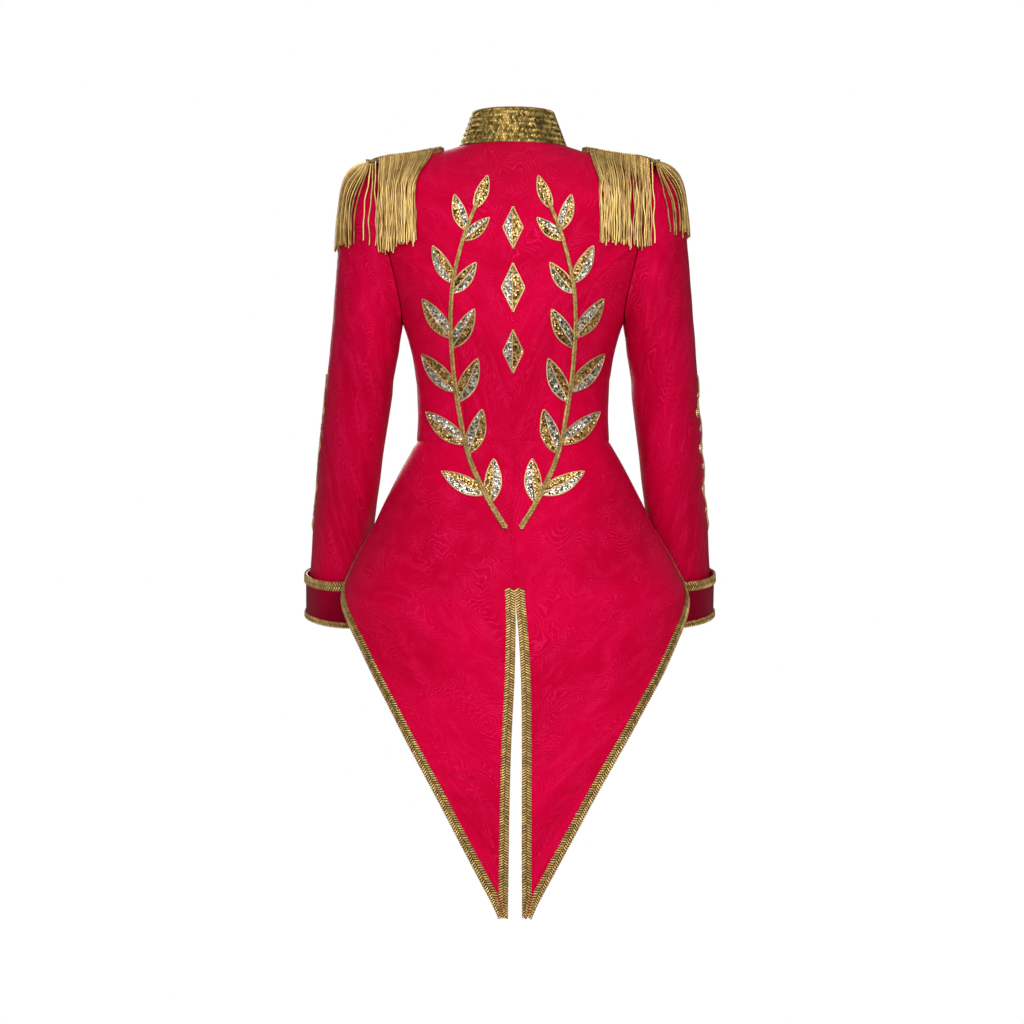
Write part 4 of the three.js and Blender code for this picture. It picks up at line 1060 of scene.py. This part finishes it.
def braid_piece(node, middle, out, width, closed=False, pitch=3.3, gold=braid_gold):
    made = lay_braid(Joined(), middle, out, width, closed, pitch)
    return finished(made.made(node + "_gold", (gold, shaded_tape_gold)), node)


def tail_line(heights, angle_at, insets):
    """Points and normals a little inside one of the left tail's edges; the insets are in millimetres."""
    angles = [angle_at(z, inset) for z, inset in zip(heights, insets)]
    points = np.array([tail_points(z, a) for z, a in zip(heights, angles)])
    normals = np.array([outward(tail_points, z, np.array([a]), -4)[0] for z, a in zip(heights, angles)])
    return points, normals


def vent_braid_angle(z, inset):
    return vent_angle(z) + inset / tail_span(z, 0)


BRAID = 12.0


def room_for_braid(z):
    """Near the points the two braids share the width that is left."""
    left = (tail_edge(z)[0] - vent_angle(z)) * tail_span(z, tail_edge(z)[0] / 2)
    return min(BRAID, 0.45 * left)


edge_heights = np.linspace(WAIST - 1.1, POINT + 0.4, 170)
vent_heights = np.linspace(VENT_TOP + 0.5, POINT + 0.4, 110)
edge_width = np.array([room_for_braid(z) for z in edge_heights])
edge_width *= np.interp(edge_heights, [-590, -562], [1, 0.55])  # narrower in front of the hip
vent_width = np.array([room_for_braid(z) for z in vent_heights])
edge_middle, edge_out = tail_line(edge_heights, edge_braid_angle, edge_width / 2)
vent_middle, vent_out = tail_line(vent_heights, vent_braid_angle, vent_width / 2)
for side, flip in SIDES.items():
    tree = surface_tree("tail_" + side)
    for node, middle, out, width in (
        ("tail_braid_", edge_middle, edge_out, edge_width),
        ("vent_braid_", vent_middle, vent_out, vent_width),
    ):
        hung = with_sway(Cloth((middle * flip)[None], (out * flip)[None]), tail_sway)
        out = hung.normals[0]
        braid_piece(node + side, laid_on(tree, hung.points[0], out), out, width)

for side in SIDES:
    for node, height, width in (("cuff_top_braid_", 61.0, BRAID), ("cuff_hem_braid_", 3.5, 7.5)):
        points, out = cuff_row(height)
        ring = with_sway(Cloth(points[None], out[None]).on(side), sleeve_sway)
        braid_piece(node + side, ring.points[0], ring.normals[0], width, closed=True, pitch=3.2)

for row in range(COLLAR_ROWS):
    above, middle, below = (collar_rows((row + f) / COLLAR_ROWS) for f in (0, 0.5, 1))
    out = collar.normals[round((row + 0.5) / COLLAR_ROWS * (len(collar.normals) - 1))]
    width = np.linalg.norm(below - above, axis=-1) + 0.5
    braid_piece("collar_braid_%d" % (row + 1), middle, out, width, pitch=3.1, gold=collar_gold)


# The epaulettes: a stiff black felt board along each shoulder, bound round its rim with gold braid, with
# a header of twisted cord from which bullion fringe hangs over the sleeve behind, outside and in front.
BOARD_INNER, BOARD_OUTER, BOARD_THICK = 92, 193, 2.4
BOARD_EDGE = 4.6  # its thickness at the inner end, where it is turned under
BOARD_ROUNDING = 8  # how far its outer corner behind is cut back
BOARD_SEAT = 1.7  # how far it lies above the shoulder's ridge
RIM_INSET, RIM_WIDTH, HEADER_WIDTH = 4.2, 8.5, 7.0
board_half = smooth_table(
    [
        # place along the shoulder, half width behind, half width in front
        [BOARD_INNER, 15, 14],
        [100, 20, 18],
        [118, 31, 26],
        [150, 41, 36],
        [176, 46, 42],
        [BOARD_OUTER, 44, 41],
    ]
)
shoulder = surface_tree("back", "front_left", "sleeve_left")
hanging_over = surface_tree("back", "back_side_left", "front_left", "front_side_left", "sleeve_left")

black_felt, w, shader = new_material("black_felt")
fibres = w.specks(w.cloth_place(), 1.6, 4.0)
felt_colour = w.blend(fibres, (0.004, 0.004, 0.005), (0.022, 0.02, 0.022))
w.feed(shader, {"Base Color": felt_colour, "Normal": w.bump(fibres, 0.5, 0.0003)})
w.feed(shader, {"Roughness": 0.95, "Sheen Weight": 0.3})

fringe_gold = metal_thread_material(
    "fringe_gold", (0.26, 0.1, 0.012), (1.0, 0.71, 0.24), 0.42, 0.28, 0.4, 0.38, side_shade=0.68, uneven=0.8
)


FAR = 300.0  # a distance outside the coat, from which its surface is looked for


def height_of_cloth(x, y):
    """Read at a few close places, in case one falls in a seam."""
    near = [Vector((x + d, y + e, FAR)) for d in (0, 1, -1) for e in (0, 1)]
    hits = [shoulder.ray_cast(place, Vector((0, 0, -1)))[0] for place in near]
    return max(hit[2] for hit in hits if hit is not None)


def board_point(f, g):
    """A place on the board: f runs outwards, and g from its front edge to its back edge."""
    x = BOARD_INNER + (BOARD_OUTER - BOARD_ROUNDING * g**6 - BOARD_INNER) * f
    behind, in_front = board_half(x)
    y = g * (behind if g > 0 else in_front)
    ridge = max(height_of_cloth(x, 2), height_of_cloth(x, -2))
    fall = ridge - min(height_of_cloth(x, y), ridge)
    return np.array([x, y, ridge + BOARD_SEAT - 0.3 * fall])


UP = np.array([0.0, 0.0, 1.0])
board_places = np.linspace(0, 1, 26)
board_grid = np.array([[board_point(f, g) for f in board_places] for g in np.linspace(1, -1, 19)])
rim = [board_point(f, 1) for f in np.linspace(0.03, 0.96, 28)]
rim += [board_point(1, g) for g in np.linspace(0.96, -0.96, 28)]
rim += [board_point(f, -1) for f in np.linspace(0.96, 0.03, 28)]
rim = np.array(rim)
for _ in range(12):
    rim[1:-1] = (rim[:-2] + 2 * rim[1:-1] + rim[2:]) / 4
rim_along = unit(np.gradient(rim, axis=0))
rim_out = unit(np.cross(UP, rim_along))
rim_out *= np.sign(np.sum(rim_out * (rim - board_point(0.5, 0)), axis=1))[:, None]

STRAND = 1.1  # radius of a strand
HANG = 2.4  # how far its middle stays off the cloth
FRINGE_FOOT = -135.0  # the height that the strands hang down to


def eased(share):
    """From 0 to 1 without a start or a stop, over the part of a strand in which it drifts aside."""
    share = np.clip(share / 0.42, 0, 1)
    return share**2 * (3 - 2 * share)


def way_out(degrees, up=0.0):
    return np.array([math.cos(math.radians(degrees)), math.sin(math.radians(degrees)), up])


def taut_curve(root, out, drift, drop, off):
    """Reaches and heights of a strand that is drawn down over the cloth below its root."""
    points = [(1.4, root[2]), (2.9, root[2] - 6)]

    def clear(reach, z, normal):
        o, u = normal @ out, normal[2]
        away = (HANG + off) / max(o * o + u * u, 0.45)
        points.append((reach + away * o, z + away * u))

    for i in range(1, 46):
        share, reach = i / 45, i * 1.3
        place = root + drift * eased(share) + out * FAR
        place[2] = root[2] - share * drop
        hit, normal, _, distance = hanging_over.ray_cast(Vector(place), Vector(-out))
        if hit is not None:
            clear(FAR - distance, place[2], np.array(normal))
        place = root + out * reach
        place[2] = FAR
        hit, normal, _, _ = hanging_over.ray_cast(Vector(place), Vector((0, 0, -1)))
        if hit is not None:
            clear(reach, hit[2], np.array(normal))
    kept = sorted([p for p in points if root[2] - drop < p[1] <= root[2]], key=lambda p: -p[1])
    kept.append((max(p[0] for p in kept), root[2] - drop))
    hull = []
    for c in kept:
        while len(hull) > 1:
            a, b = hull[-2:]
            if (b[0] - a[0]) * (c[1] - b[1]) - (b[1] - a[1]) * (c[0] - b[0]) < 0:
                break
            hull.pop()
        hull.append(c)
    return np.array(hull)


def strand_line(root, degrees, drift, drop, off, random):
    """One strand: out of the header, down over the cloth, and straight from there, a little wavy."""
    out = way_out(degrees)
    hull = taut_curve(root, out, np.array([drift, 0, 0.0]), drop, off)
    arc = lengths_along(hull, 0)
    fine = read_along(arc, hull, np.linspace(0, arc[-1], 61))
    for _ in range(5):
        fine[1:-1] = (fine[:-2] + 2 * fine[1:-1] + fine[2:]) / 4
    fine = fine[::3]
    share = np.clip((root[2] - fine[:, 1]) / drop, 0, 1)
    waves = 0
    for turns in (0.8, 1.6, 2.9):
        height = random.uniform(0.25, 0.8)
        waves = waves + height * np.sin(2 * math.pi * (turns * share + random.random()))
    waves = (waves + random.uniform(-1.6, 1.6) * share) * np.clip(3 * share, 0, 1)
    line = root + np.outer(eased(share), [drift, 0, 0]) + out * fine[:, :1]
    line = line + np.outer(waves, [-out[1], out[0], 0])
    line[:, 2] = fine[:, 1]
    return line


def fringe_lines(strands, seed, dip, shorter):
    """Strands' lines and the ways that they face. A strand is given by its place along the board and
    across it, the way it leaves, its drift and its layer. The dip is in the bunch behind."""
    random = np.random.default_rng(seed)
    lines, facing = [], []
    for f, g, degrees, drift, off in strands:
        root = board_point(f, g) + UP
        low = FRINGE_FOOT + random.normal(0, 3.0)
        if abs(degrees) == 90:
            low -= dip * math.exp(-(((f - 0.76) / 0.22) ** 2))
        elif abs(degrees) < 60:
            low += shorter
        lines.append(strand_line(root, degrees, drift, root[2] - low, off, random))
        # The way a strand faces is where its bright top turns; its sides get the painted side shade.
        faces = degrees if abs(degrees) == 90 else degrees / 4 + math.copysign(68, degrees)
        facing.append([way_out(faces, 0.05)])
    return np.array(lines), np.array(facing)


def main_bunch(start, end, count, drift_in, drift_out, gaps):
    """Strands from the board's back edge, in two layers. A gap is its place, its push and its spread."""
    strands = []
    for i in range(count):
        f = start + (end - start) * i / (count - 1)
        drift = drift_in * (1 - f) ** 1.4 + drift_out * f
        for place, push, spread in gaps:
            away = f - place
            drift += math.copysign(push, away) * math.exp(-abs(away) / spread)
        strands.append((f, 1.0, 90, drift, 1.5 * (i % 2)))
    return strands


def outer_bunch(first, last, count, g_first=0.94, off=0.0):
    """Strands that fan out over the top of the sleeve, from one corner of the board to its middle."""
    strands = []
    for i in range(count):
        share = i / (count - 1)
        g = g_first + (last / 60 - g_first) * share
        strands.append((1.0, g, first + (last - first) * share, 0, off + 1.6 * (i % 2)))
    return strands


front_bunch = []
for i, f in enumerate(np.linspace(0.22, 0.98, 38)):
    front_bunch.append((f, -1.0, -90, 14 * (1 - f) ** 1.4, 1.5 * (i % 2)))
FRINGES = {
    "left": main_bunch(0.165, 0.9, 48, 25, 0, [(0.47, 0.8, 0.05)])
    + [(0.955, 1.0, 90, 0, 0), (0.985, 1.0, 76, 0, 0), (1.0, 0.98, 58, 0, 0)]
    + outer_bunch(32, 0, 30, off=1.0)
    + outer_bunch(0, -56, 18, 0.0, off=1.0)
    + front_bunch,
    "right": main_bunch(0.115, 0.93, 50, 11, 1, [(0.56, 0.7, 0.03), (0.655, 2.2, 0.05), (0.86, 1.6, 0.035)])
    + [(0.975, 1.0, 84, 1, 0), (1.0, 0.94, 40, 0, 0), (1.0, 0.9, 29, 0, 0), (1.0, 0.9, 26, 0, 1.5)]
    + [(1.0, 0.88, 24, 0, 0)]
    + outer_bunch(15, 0, 18, g_first=0.8)
    + outer_bunch(0, -56, 18, 0.0)
    + front_bunch,
}
FRINGE_ENDS = {"left": (11, 10, 0), "right": (12, 5, 17)}  # seed, dip, and how far the outer ones end higher
for side, flip in SIDES.items():
    board = Joined()
    top = Cloth(board_grid + UP * BOARD_THICK, np.broadcast_to(UP, board_grid.shape)).on(side)
    thick = np.interp(board_places, [0.1, 0.3], [BOARD_EDGE, BOARD_THICK])[:: flip[0]]
    board.wall(top.points, top.normals, np.broadcast_to(thick, top.points.shape[:2]))
    finished(board.made("epaulette_%s_board" % side, (black_felt,)), "epaulette_" + side)

    on_rim = (rim - rim_out * RIM_INSET + UP * BOARD_THICK) * flip
    rim_braid = lay_braid(Joined(), on_rim, np.broadcast_to(UP, on_rim.shape), RIM_WIDTH, lift=0.1)
    finished(rim_braid.made("epaulette_%s_rim" % side, (braid_gold, shaded_tape_gold)), None)

    fringe, head = Joined(), Joined()
    strands, facing = fringe_lines(FRINGES[side], *FRINGE_ENDS[side])
    fringe.threads(strands * flip, facing * flip, STRAND)
    on_rim = (rim + 0.6 * UP) * flip
    lay_braid(head, on_rim, rim_out * flip, HEADER_WIDTH, pitch=3.0, lift=0.3, thick=1.0, slant=2.2)
    finished(head.made("fringe_%s_header" % side, (braid_gold, shaded_tape_gold)), None)
    finished(fringe.made("fringe_%s_bullion" % side, (fringe_gold,)), "fringe_" + side)


# The sequin design: padded leaves on a curved stem up each side of the back, like a laurel wreath that is
# open at the top, with three lozenges between them. Cup sequins are sewn on in overlapping rows, in gold
# and in silver, and every edge is finished with a couched gold cord.
design_cloth = surface_tree("back", "back_side_left", "back_side_right", "tail_left", "tail_right")


def on_back(x, z):
    x = math.copysign(max(abs(x), 0.8), x)
    near = [Vector((x + d, FAR, z + d)) for d in (0, 0.8, -0.8)]
    hits = [design_cloth.ray_cast(place, Vector((0, -1, 0)))[0] for place in near]
    return np.array([x, max(hit[1] for hit in hits if hit is not None), z])


def out_of_back(x, z):
    across = on_back(x + 5, z) - on_back(x - 5, z)
    down = on_back(x, z - 5) - on_back(x, z + 5)
    return unit(np.cross(across, down))


def laid_on_back(places, heights):
    """Points at heights above the cloth, from places across and up, with the way out of the cloth."""
    normals = np.array([out_of_back(x, z) for x, z in places])
    points = np.array([on_back(x, z) for x, z in places])
    return points + normals * np.asarray(heights)[:, None], normals


def sequin_material(name, dark, bright):
    material, w, shader = new_material(name)
    own = w.put("SeparateXYZ", i0=w.cloth_place())  # each sequin has one random place
    colour, rough = w.blend(own.outputs[0], dark, bright), w.maths("MULTIPLY_ADD", own.outputs[1], 0.2, 0.14)
    w.feed(shader, {"Base Color": colour, "Roughness": rough, "Metallic": 1.0})
    return material


gold_sequins = sequin_material("gold_sequins", (0.15, 0.06, 0.012), (0.8, 0.53, 0.2))
silver_sequins = sequin_material("silver_sequins", (0.15, 0.13, 0.1), (0.92, 0.84, 0.72))
pad_cloth = metal_thread_material("pad_cloth", (0.16, 0.09, 0.02), (0.6, 0.42, 0.18), 1.0, 0.1)


def add_sequins(made, centres, normals, along, finish, random, radius=1.6):
    """Cup sequins that lie like tiles, each tipped a little its own way."""
    count, sides = len(centres), 8
    tip = unit(normals - 0.3 * along + random.normal(0, 0.2, (count, 3)))
    beside = unit(np.cross(tip, along))
    ahead = np.cross(beside, tip)
    turn = 2 * math.pi * np.arange(sides) / sides
    circle = radius * (beside[:, None] * np.cos(turn)[:, None] + ahead[:, None] * np.sin(turn)[:, None])
    centres = centres[:, None]
    rings = np.stack([centres + circle + 0.3 * tip[:, None], centres + 0.45 * circle], 1)
    a, j = np.meshgrid(np.arange(count), np.arange(sides), indexing="ij")
    first = a * 2 * sides
    k = (j + 1) % sides
    faces = np.stack([first + k, first + j, first + sides + j, first + sides + k], -1).reshape(-1, 4)
    shade = random.random((count, 2))
    inner = first + sides + j + made.count
    made.add(rings, faces[:, ::-1], np.repeat(shade, sides * 4, 0), finish)
    made.faces += inner.tolist()
    made.uvs.append(np.repeat(shade, sides, 0))
    made.finish += [finish] * count


def padded_shape(made, place_at, half_width_at, length, finishes, random, spacing=2.55):
    """A crowned pad along a middle line with sequins on it; the finish differs on the two halves."""
    m, n = 15, 7
    grid, heights = [], []
    for f in np.linspace(0, 1, m)[::-1]:
        half = max(half_width_at(f), 0.35)
        for share in np.linspace(-1, 1, n):
            grid.append(place_at(f, share * half))
            heights.append(0.5 + 1.5 * (1 - share * share) * min(1, half / 5))
    points, normals = laid_on_back(grid, heights)
    points, normals = points.reshape(m, n, 3), normals.reshape(m, n, 3)
    if np.sum(np.cross(points[0, -1] - points[0, 0], points[-1, 3] - points[0, 3]) * normals[7, 3]) < 0:
        points, normals = points[:, ::-1], normals[:, ::-1]
    made.wall(points, normals, np.full((m, n), 0.8), 3)
    rows = int(length / (spacing * 0.866))  # each row lies in the gaps of the last
    for side, finish in zip((-1, 1), finishes):
        places, crown = [], []
        for row in range(rows):
            f = (row + 0.5) / rows
            half = half_width_at(f) - 0.9
            across = (0.5 if row % 2 else 1.0) * spacing / 2
            while across < half:
                places.append(place_at(f, side * across))
                crown.append(1.1 + 1.5 * (1 - (across / (half + 1)) ** 2) * min(1, half / 5))
                across += spacing
        if places:
            centres, out = laid_on_back(places, crown)
            ahead = np.array([*place_at(0.9, 0.0), 0]) - np.array([*place_at(0.1, 0.0), 0])
            ahead = np.broadcast_to(unit(np.array([ahead[0], 0, ahead[1]])), out.shape)
            add_sequins(made, centres, out, ahead, finish, random)
    around = [place_at(f, half_width_at(f) + 0.2) for f in np.linspace(0, 1, 24)]
    around += [place_at(f, -half_width_at(f) - 0.2) for f in np.linspace(1, 0, 24)]
    edge, out = laid_on_back(around, np.full(48, 1.2))
    edge, out = np.concatenate([edge, edge[:2]]), np.concatenate([out, out[:2]])
    made.threads(edge[None], out[None], 1.0, sides=6, finish=2)
    middle = [place_at(f, 0.0) for f in np.linspace(0.02, 0.9, 16)]
    raised = 1.5 + 1.5 * np.array([min(1, half_width_at(f) / 5) for f in np.linspace(0.02, 0.9, 16)])
    vein, out = laid_on_back(middle, raised)
    made.threads(vein[None], out[None], np.linspace(0.95, 0.6, 16), sides=6, finish=2)


STEM_POINTS = np.array(
    [[9, -508], [33, -468], [57, -414], [71, -345], [79, -270], [78, -196], [64, -132], [46, -84]], float
)
chord = lengths_along(STEM_POINTS, 0)
stem_table = smooth_table([[c, *p] for c, p in zip(chord, STEM_POINTS)])
stem_fine = np.array([stem_table(c) for c in np.linspace(0, chord[-1], 200)])
stem_arc = lengths_along(stem_fine, 0)


def stem_at(f):
    p = read_along(stem_arc, stem_fine, np.array([f * stem_arc[-1]]))[0]
    near = np.clip([f * stem_arc[-1] - 2, f * stem_arc[-1] + 2], 0, stem_arc[-1])
    ends = read_along(stem_arc, stem_fine, near)
    return p, unit(ends[1] - ends[0])


def leaf_width(f):
    return math.sin(math.pi * f**0.85) ** 0.8 if 0 < f < 1 else 0.0


def leaf(made, sign, start, degrees, length, width, finishes, random):
    direction = math.radians(degrees)
    along = np.array([math.sin(direction), math.cos(direction)])
    across = np.array([along[1], -along[0]])

    def place_at(f, off):
        bend = 0.06 * length * math.sin(math.pi * f)
        x, z = start + along * length * f + across * (off + bend * np.sign(direction) * 0.5)
        return sign * x, z

    padded_shape(made, place_at, lambda f: width / 2 * leaf_width(f), length, finishes, random)


def degrees_of(way):
    return math.degrees(math.atan2(way[0], way[1]))


LEAF_PAIRS, LEAF_LENGTH, LEAF_TURN = 6, 68, 34
DESIGN_FINISHES = (gold_sequins, silver_sequins, cord_gold, pad_cloth)
for seed, (side, flip) in enumerate(SIDES.items(), 21):
    sign, random = flip[0], np.random.default_rng(seed)
    made = Joined()
    for i in range(LEAF_PAIRS):
        f = 0.09 + (0.88 - 0.09) * i / (LEAF_PAIRS - 1)
        length = LEAF_LENGTH * (0.72 + 0.28 * math.sin(math.pi * min(f + 0.18, 1)))
        for hand in (-1, 1):
            start = stem_at(f + (0.03 if hand > 0 else 0))[0]
            degrees = degrees_of(stem_at(f)[1]) + hand * LEAF_TURN
            finishes = (0, 1) if (i + (hand > 0)) % 2 else (1, 0)
            size = length * (0.9 if hand < 0 else 1)
            leaf(made, sign, start, degrees, size, length * 0.33, finishes, random)
    leaf(made, sign, stem_at(0.98)[0], degrees_of(stem_at(1)[1]), 46, 15, (0, 0), random)
    stem_shares = np.linspace(0, 1, 90)
    middle, out = laid_on_back([stem_at(f)[0] * [sign, 1] for f in stem_shares], np.full(90, 1.6))
    stem_braid = Joined()
    lay_braid(stem_braid, middle, out, 6.4 * (1 - 0.42 * stem_shares), pitch=2.4)
    finished(stem_braid.made("sequin_stem_" + side, (braid_gold, shaded_tape_gold)), None)
    finished(made.made("sequin_leaves_" + side, DESIGN_FINISHES), "sequin_branch_" + side)

LOZENGES = [(-118, 13, 27), (-196, 15, 31), (-278, 13, 27)]  # height, half width, half height
for number, (height, half_width, half_height) in enumerate(LOZENGES, 1):
    made = Joined()
    padded_shape(
        made,
        lambda f, off: (off, height + (2 * f - 1) * half_height),
        lambda f: half_width * (1 - abs(2 * f - 1)),
        2 * half_height,
        (0, 1),
        np.random.default_rng(30 + number),
    )
    piece = made.made("sequin_diamond_%d" % number, DESIGN_FINISHES)
    finished(piece, "sequin_lozenge_%d" % number)


# A scroll of couched cord on each forearm, worked upwards from the cuff on the outer side in front: two
# twisted gold cords side by side with a finer one laid on top between them. Beside it, towards the back of
# the arm where they show at its edge, run a wavy cord and small curls.
def on_sleeve(ring, column):
    """A place on the left sleeve and the way out of it."""
    row = np.interp(ring, ring_numbers, np.arange(len(ring_numbers)))
    place = (column % SLEEVE_STEPS) * SLEEVE_COLUMNS / SLEEVE_STEPS
    i, j = int(row), int(place)
    f, g = row - i, place - j
    k, i2 = (j + 1) % SLEEVE_COLUMNS, min(i + 1, len(ring_numbers) - 1)

    def read(grid):
        upper = grid[i, j] * (1 - g) + grid[i, k] * g
        return upper * (1 - f) + (grid[i2, j] * (1 - g) + grid[i2, k] * g) * f

    return read(sleeve.points), unit(read(sleeve.normals))


def couch(made, line, out, side, radius, sides=6, finish=0):
    """Sews a cord along a line of the left sleeve, or along its mirror image on the right one."""
    hung = with_sway(Cloth((line * SIDES[side])[None], (out * SIDES[side])[None]), sleeve_sway)
    made.threads(hung.points, hung.normals, radius, sides=sides, finish=finish)


scroll = []
for f in np.linspace(0, 1, 110):
    sway = 1.05 * (1 - 0.55 * f)
    scroll.append(on_sleeve(12.45 - 3.15 * f, 1.35 + sway * math.sin(2 * math.pi * 2.5 * f)))
scroll_points, scroll_out = (np.array(a) for a in zip(*scroll))
scroll_across = unit(np.cross(scroll_out, np.gradient(scroll_points, axis=0)))
for side in SIDES:
    made = Joined()
    for off, rise, radius, finish in ((-1.35, 1.3, 1.3, 0), (1.35, 1.3, 1.3, 0), (0, 2.3, 0.8, 1)):
        line = scroll_points + scroll_across * off + scroll_out * rise
        couch(made, line, scroll_out, side, radius, 8, finish)
    finished(made.made("sleeve_scroll_%s_cord" % side, (cord_gold, braid_gold)), "sleeve_scroll_" + side)

CURLS = [
    # column, ring, radius in mm, way it starts, turns
    (-0.5, 11.1, 5.0, 200, 1.3),
    (-0.85, 10.6, 5.5, 250, -1.4),
    (-0.6, 10.1, 5.0, 160, 1.2),
    (-0.95, 9.7, 6.5, 260, -1.4),
    (-0.6, 9.3, 5.0, 180, 1.3),
    (-0.98, 8.95, 6.0, 250, -1.3),
    (-0.65, 8.6, 4.0, 170, 1.2),
]
COLUMN_WIDTH, RING_DEPTH = 17, 56  # millimetres on the forearm
CURL_CORD = 1.1
curl_lines = []
t = np.linspace(0, 1, 30)
for column, ring, radius, start, turns in CURLS:
    reach, angle = radius * (1 - 0.72 * t), np.radians(start + 360 * turns * t)
    across, up = reach * np.cos(angle) / COLUMN_WIDTH, reach * np.sin(angle) / RING_DEPTH
    curl_lines.append(np.stack([ring - up, column + across], -1))
t = np.linspace(0, 1, 90)
curl_lines.append(np.stack([11.3 - 3.1 * t, -0.6 + 0.32 * np.sin(7 * math.pi * t)], -1))
for side in SIDES:
    made = Joined()
    turned = [0, 0.6 if side == "left" else 0]
    for line in curl_lines:
        points, out = (np.array(a) for a in zip(*[on_sleeve(*place) for place in line + turned]))
        couch(made, points + out * 0.95, out, side, CURL_CORD)
    finished(made.made("sleeve_curls_%s_cord" % side, (cord_gold,)), None)


# The front closes with five gold buttons, sewn on the lap: pressed metal domes with a raised rim, each
# over a buttonhole worked in red thread.
red_thread, w, shader = new_material("red_thread")
w.feed(shader, {"Base Color": (0.3, 0.0, 0.015, 1), "Roughness": 0.5})
button_gold, w, shader = new_material("button_gold")
rubbed = w.specks(w.cloth_place(), 0.5, 4.0)
rubbed_gold = w.blend(rubbed, (0.55, 0.34, 0.1), (0.95, 0.7, 0.3))
rubbed_rough = w.maths("MULTIPLY_ADD", rubbed, 0.25, 0.18)
w.feed(shader, {"Base Color": rubbed_gold, "Roughness": rubbed_rough, "Metallic": 1.0})
BUTTON_PROFILE = [
    # out from the middle, up from the cloth
    (0.01, 0.2), (2.2, 0.3), (2.4, 1.4), (6.6, 1.5), (7.7, 1.9), (8.1, 2.5), (7.9, 3.2), (7.3, 3.55),
    (6.8, 3.3), (6.5, 3.05), (6.2, 3.2), (5.2, 3.95), (3.8, 4.6), (2.2, 5.0), (0.9, 5.15), (0.01, 5.2),
]
lap = surface_tree("front_right")


def on_lap(x, z):
    at, normal, _, _ = lap.ray_cast(Vector((x, -FAR, z)), Vector((0, 1, 0)))
    return np.array(at), np.array(normal)


BUTTON_SIDES = 40
turn = 2 * math.pi * np.arange(BUTTON_SIDES) / BUTTON_SIDES
for number, height in enumerate(np.linspace(-66, -376, 5), 1):
    seat, out = on_lap(0, height)
    out = out if out[1] < 0 else -out
    right = unit(np.cross(UP, out))
    up = np.cross(out, right)
    circle = right[None] * np.cos(turn)[:, None] + up[None] * np.sin(turn)[:, None]
    rings = np.array([seat + r * circle + h * out for r, h in BUTTON_PROFILE])
    faces = quads(len(rings), BUTTON_SIDES, True)
    place = np.array([[r * math.cos(t), r * math.sin(t)] for r, _ in BUTTON_PROFILE for t in turn])
    made = Joined()
    made.add(rings, faces, place[faces], 0)
    finished(made.made("button_%d_dome" % number, (button_gold,), 70), "button_%d" % number)

    around = [(3 + 10 * math.cos(t), height + 1.3 * math.sin(t)) for t in np.linspace(0, 2 * math.pi, 30)]
    edge = np.array([on_lap(x, z)[0] + 0.3 * out for x, z in around])
    hole = Joined()
    hole.threads(edge[None], out, 0.65, 0.5)
    finished(hole.made("buttonhole_%d_thread" % number, (red_thread,)), None)
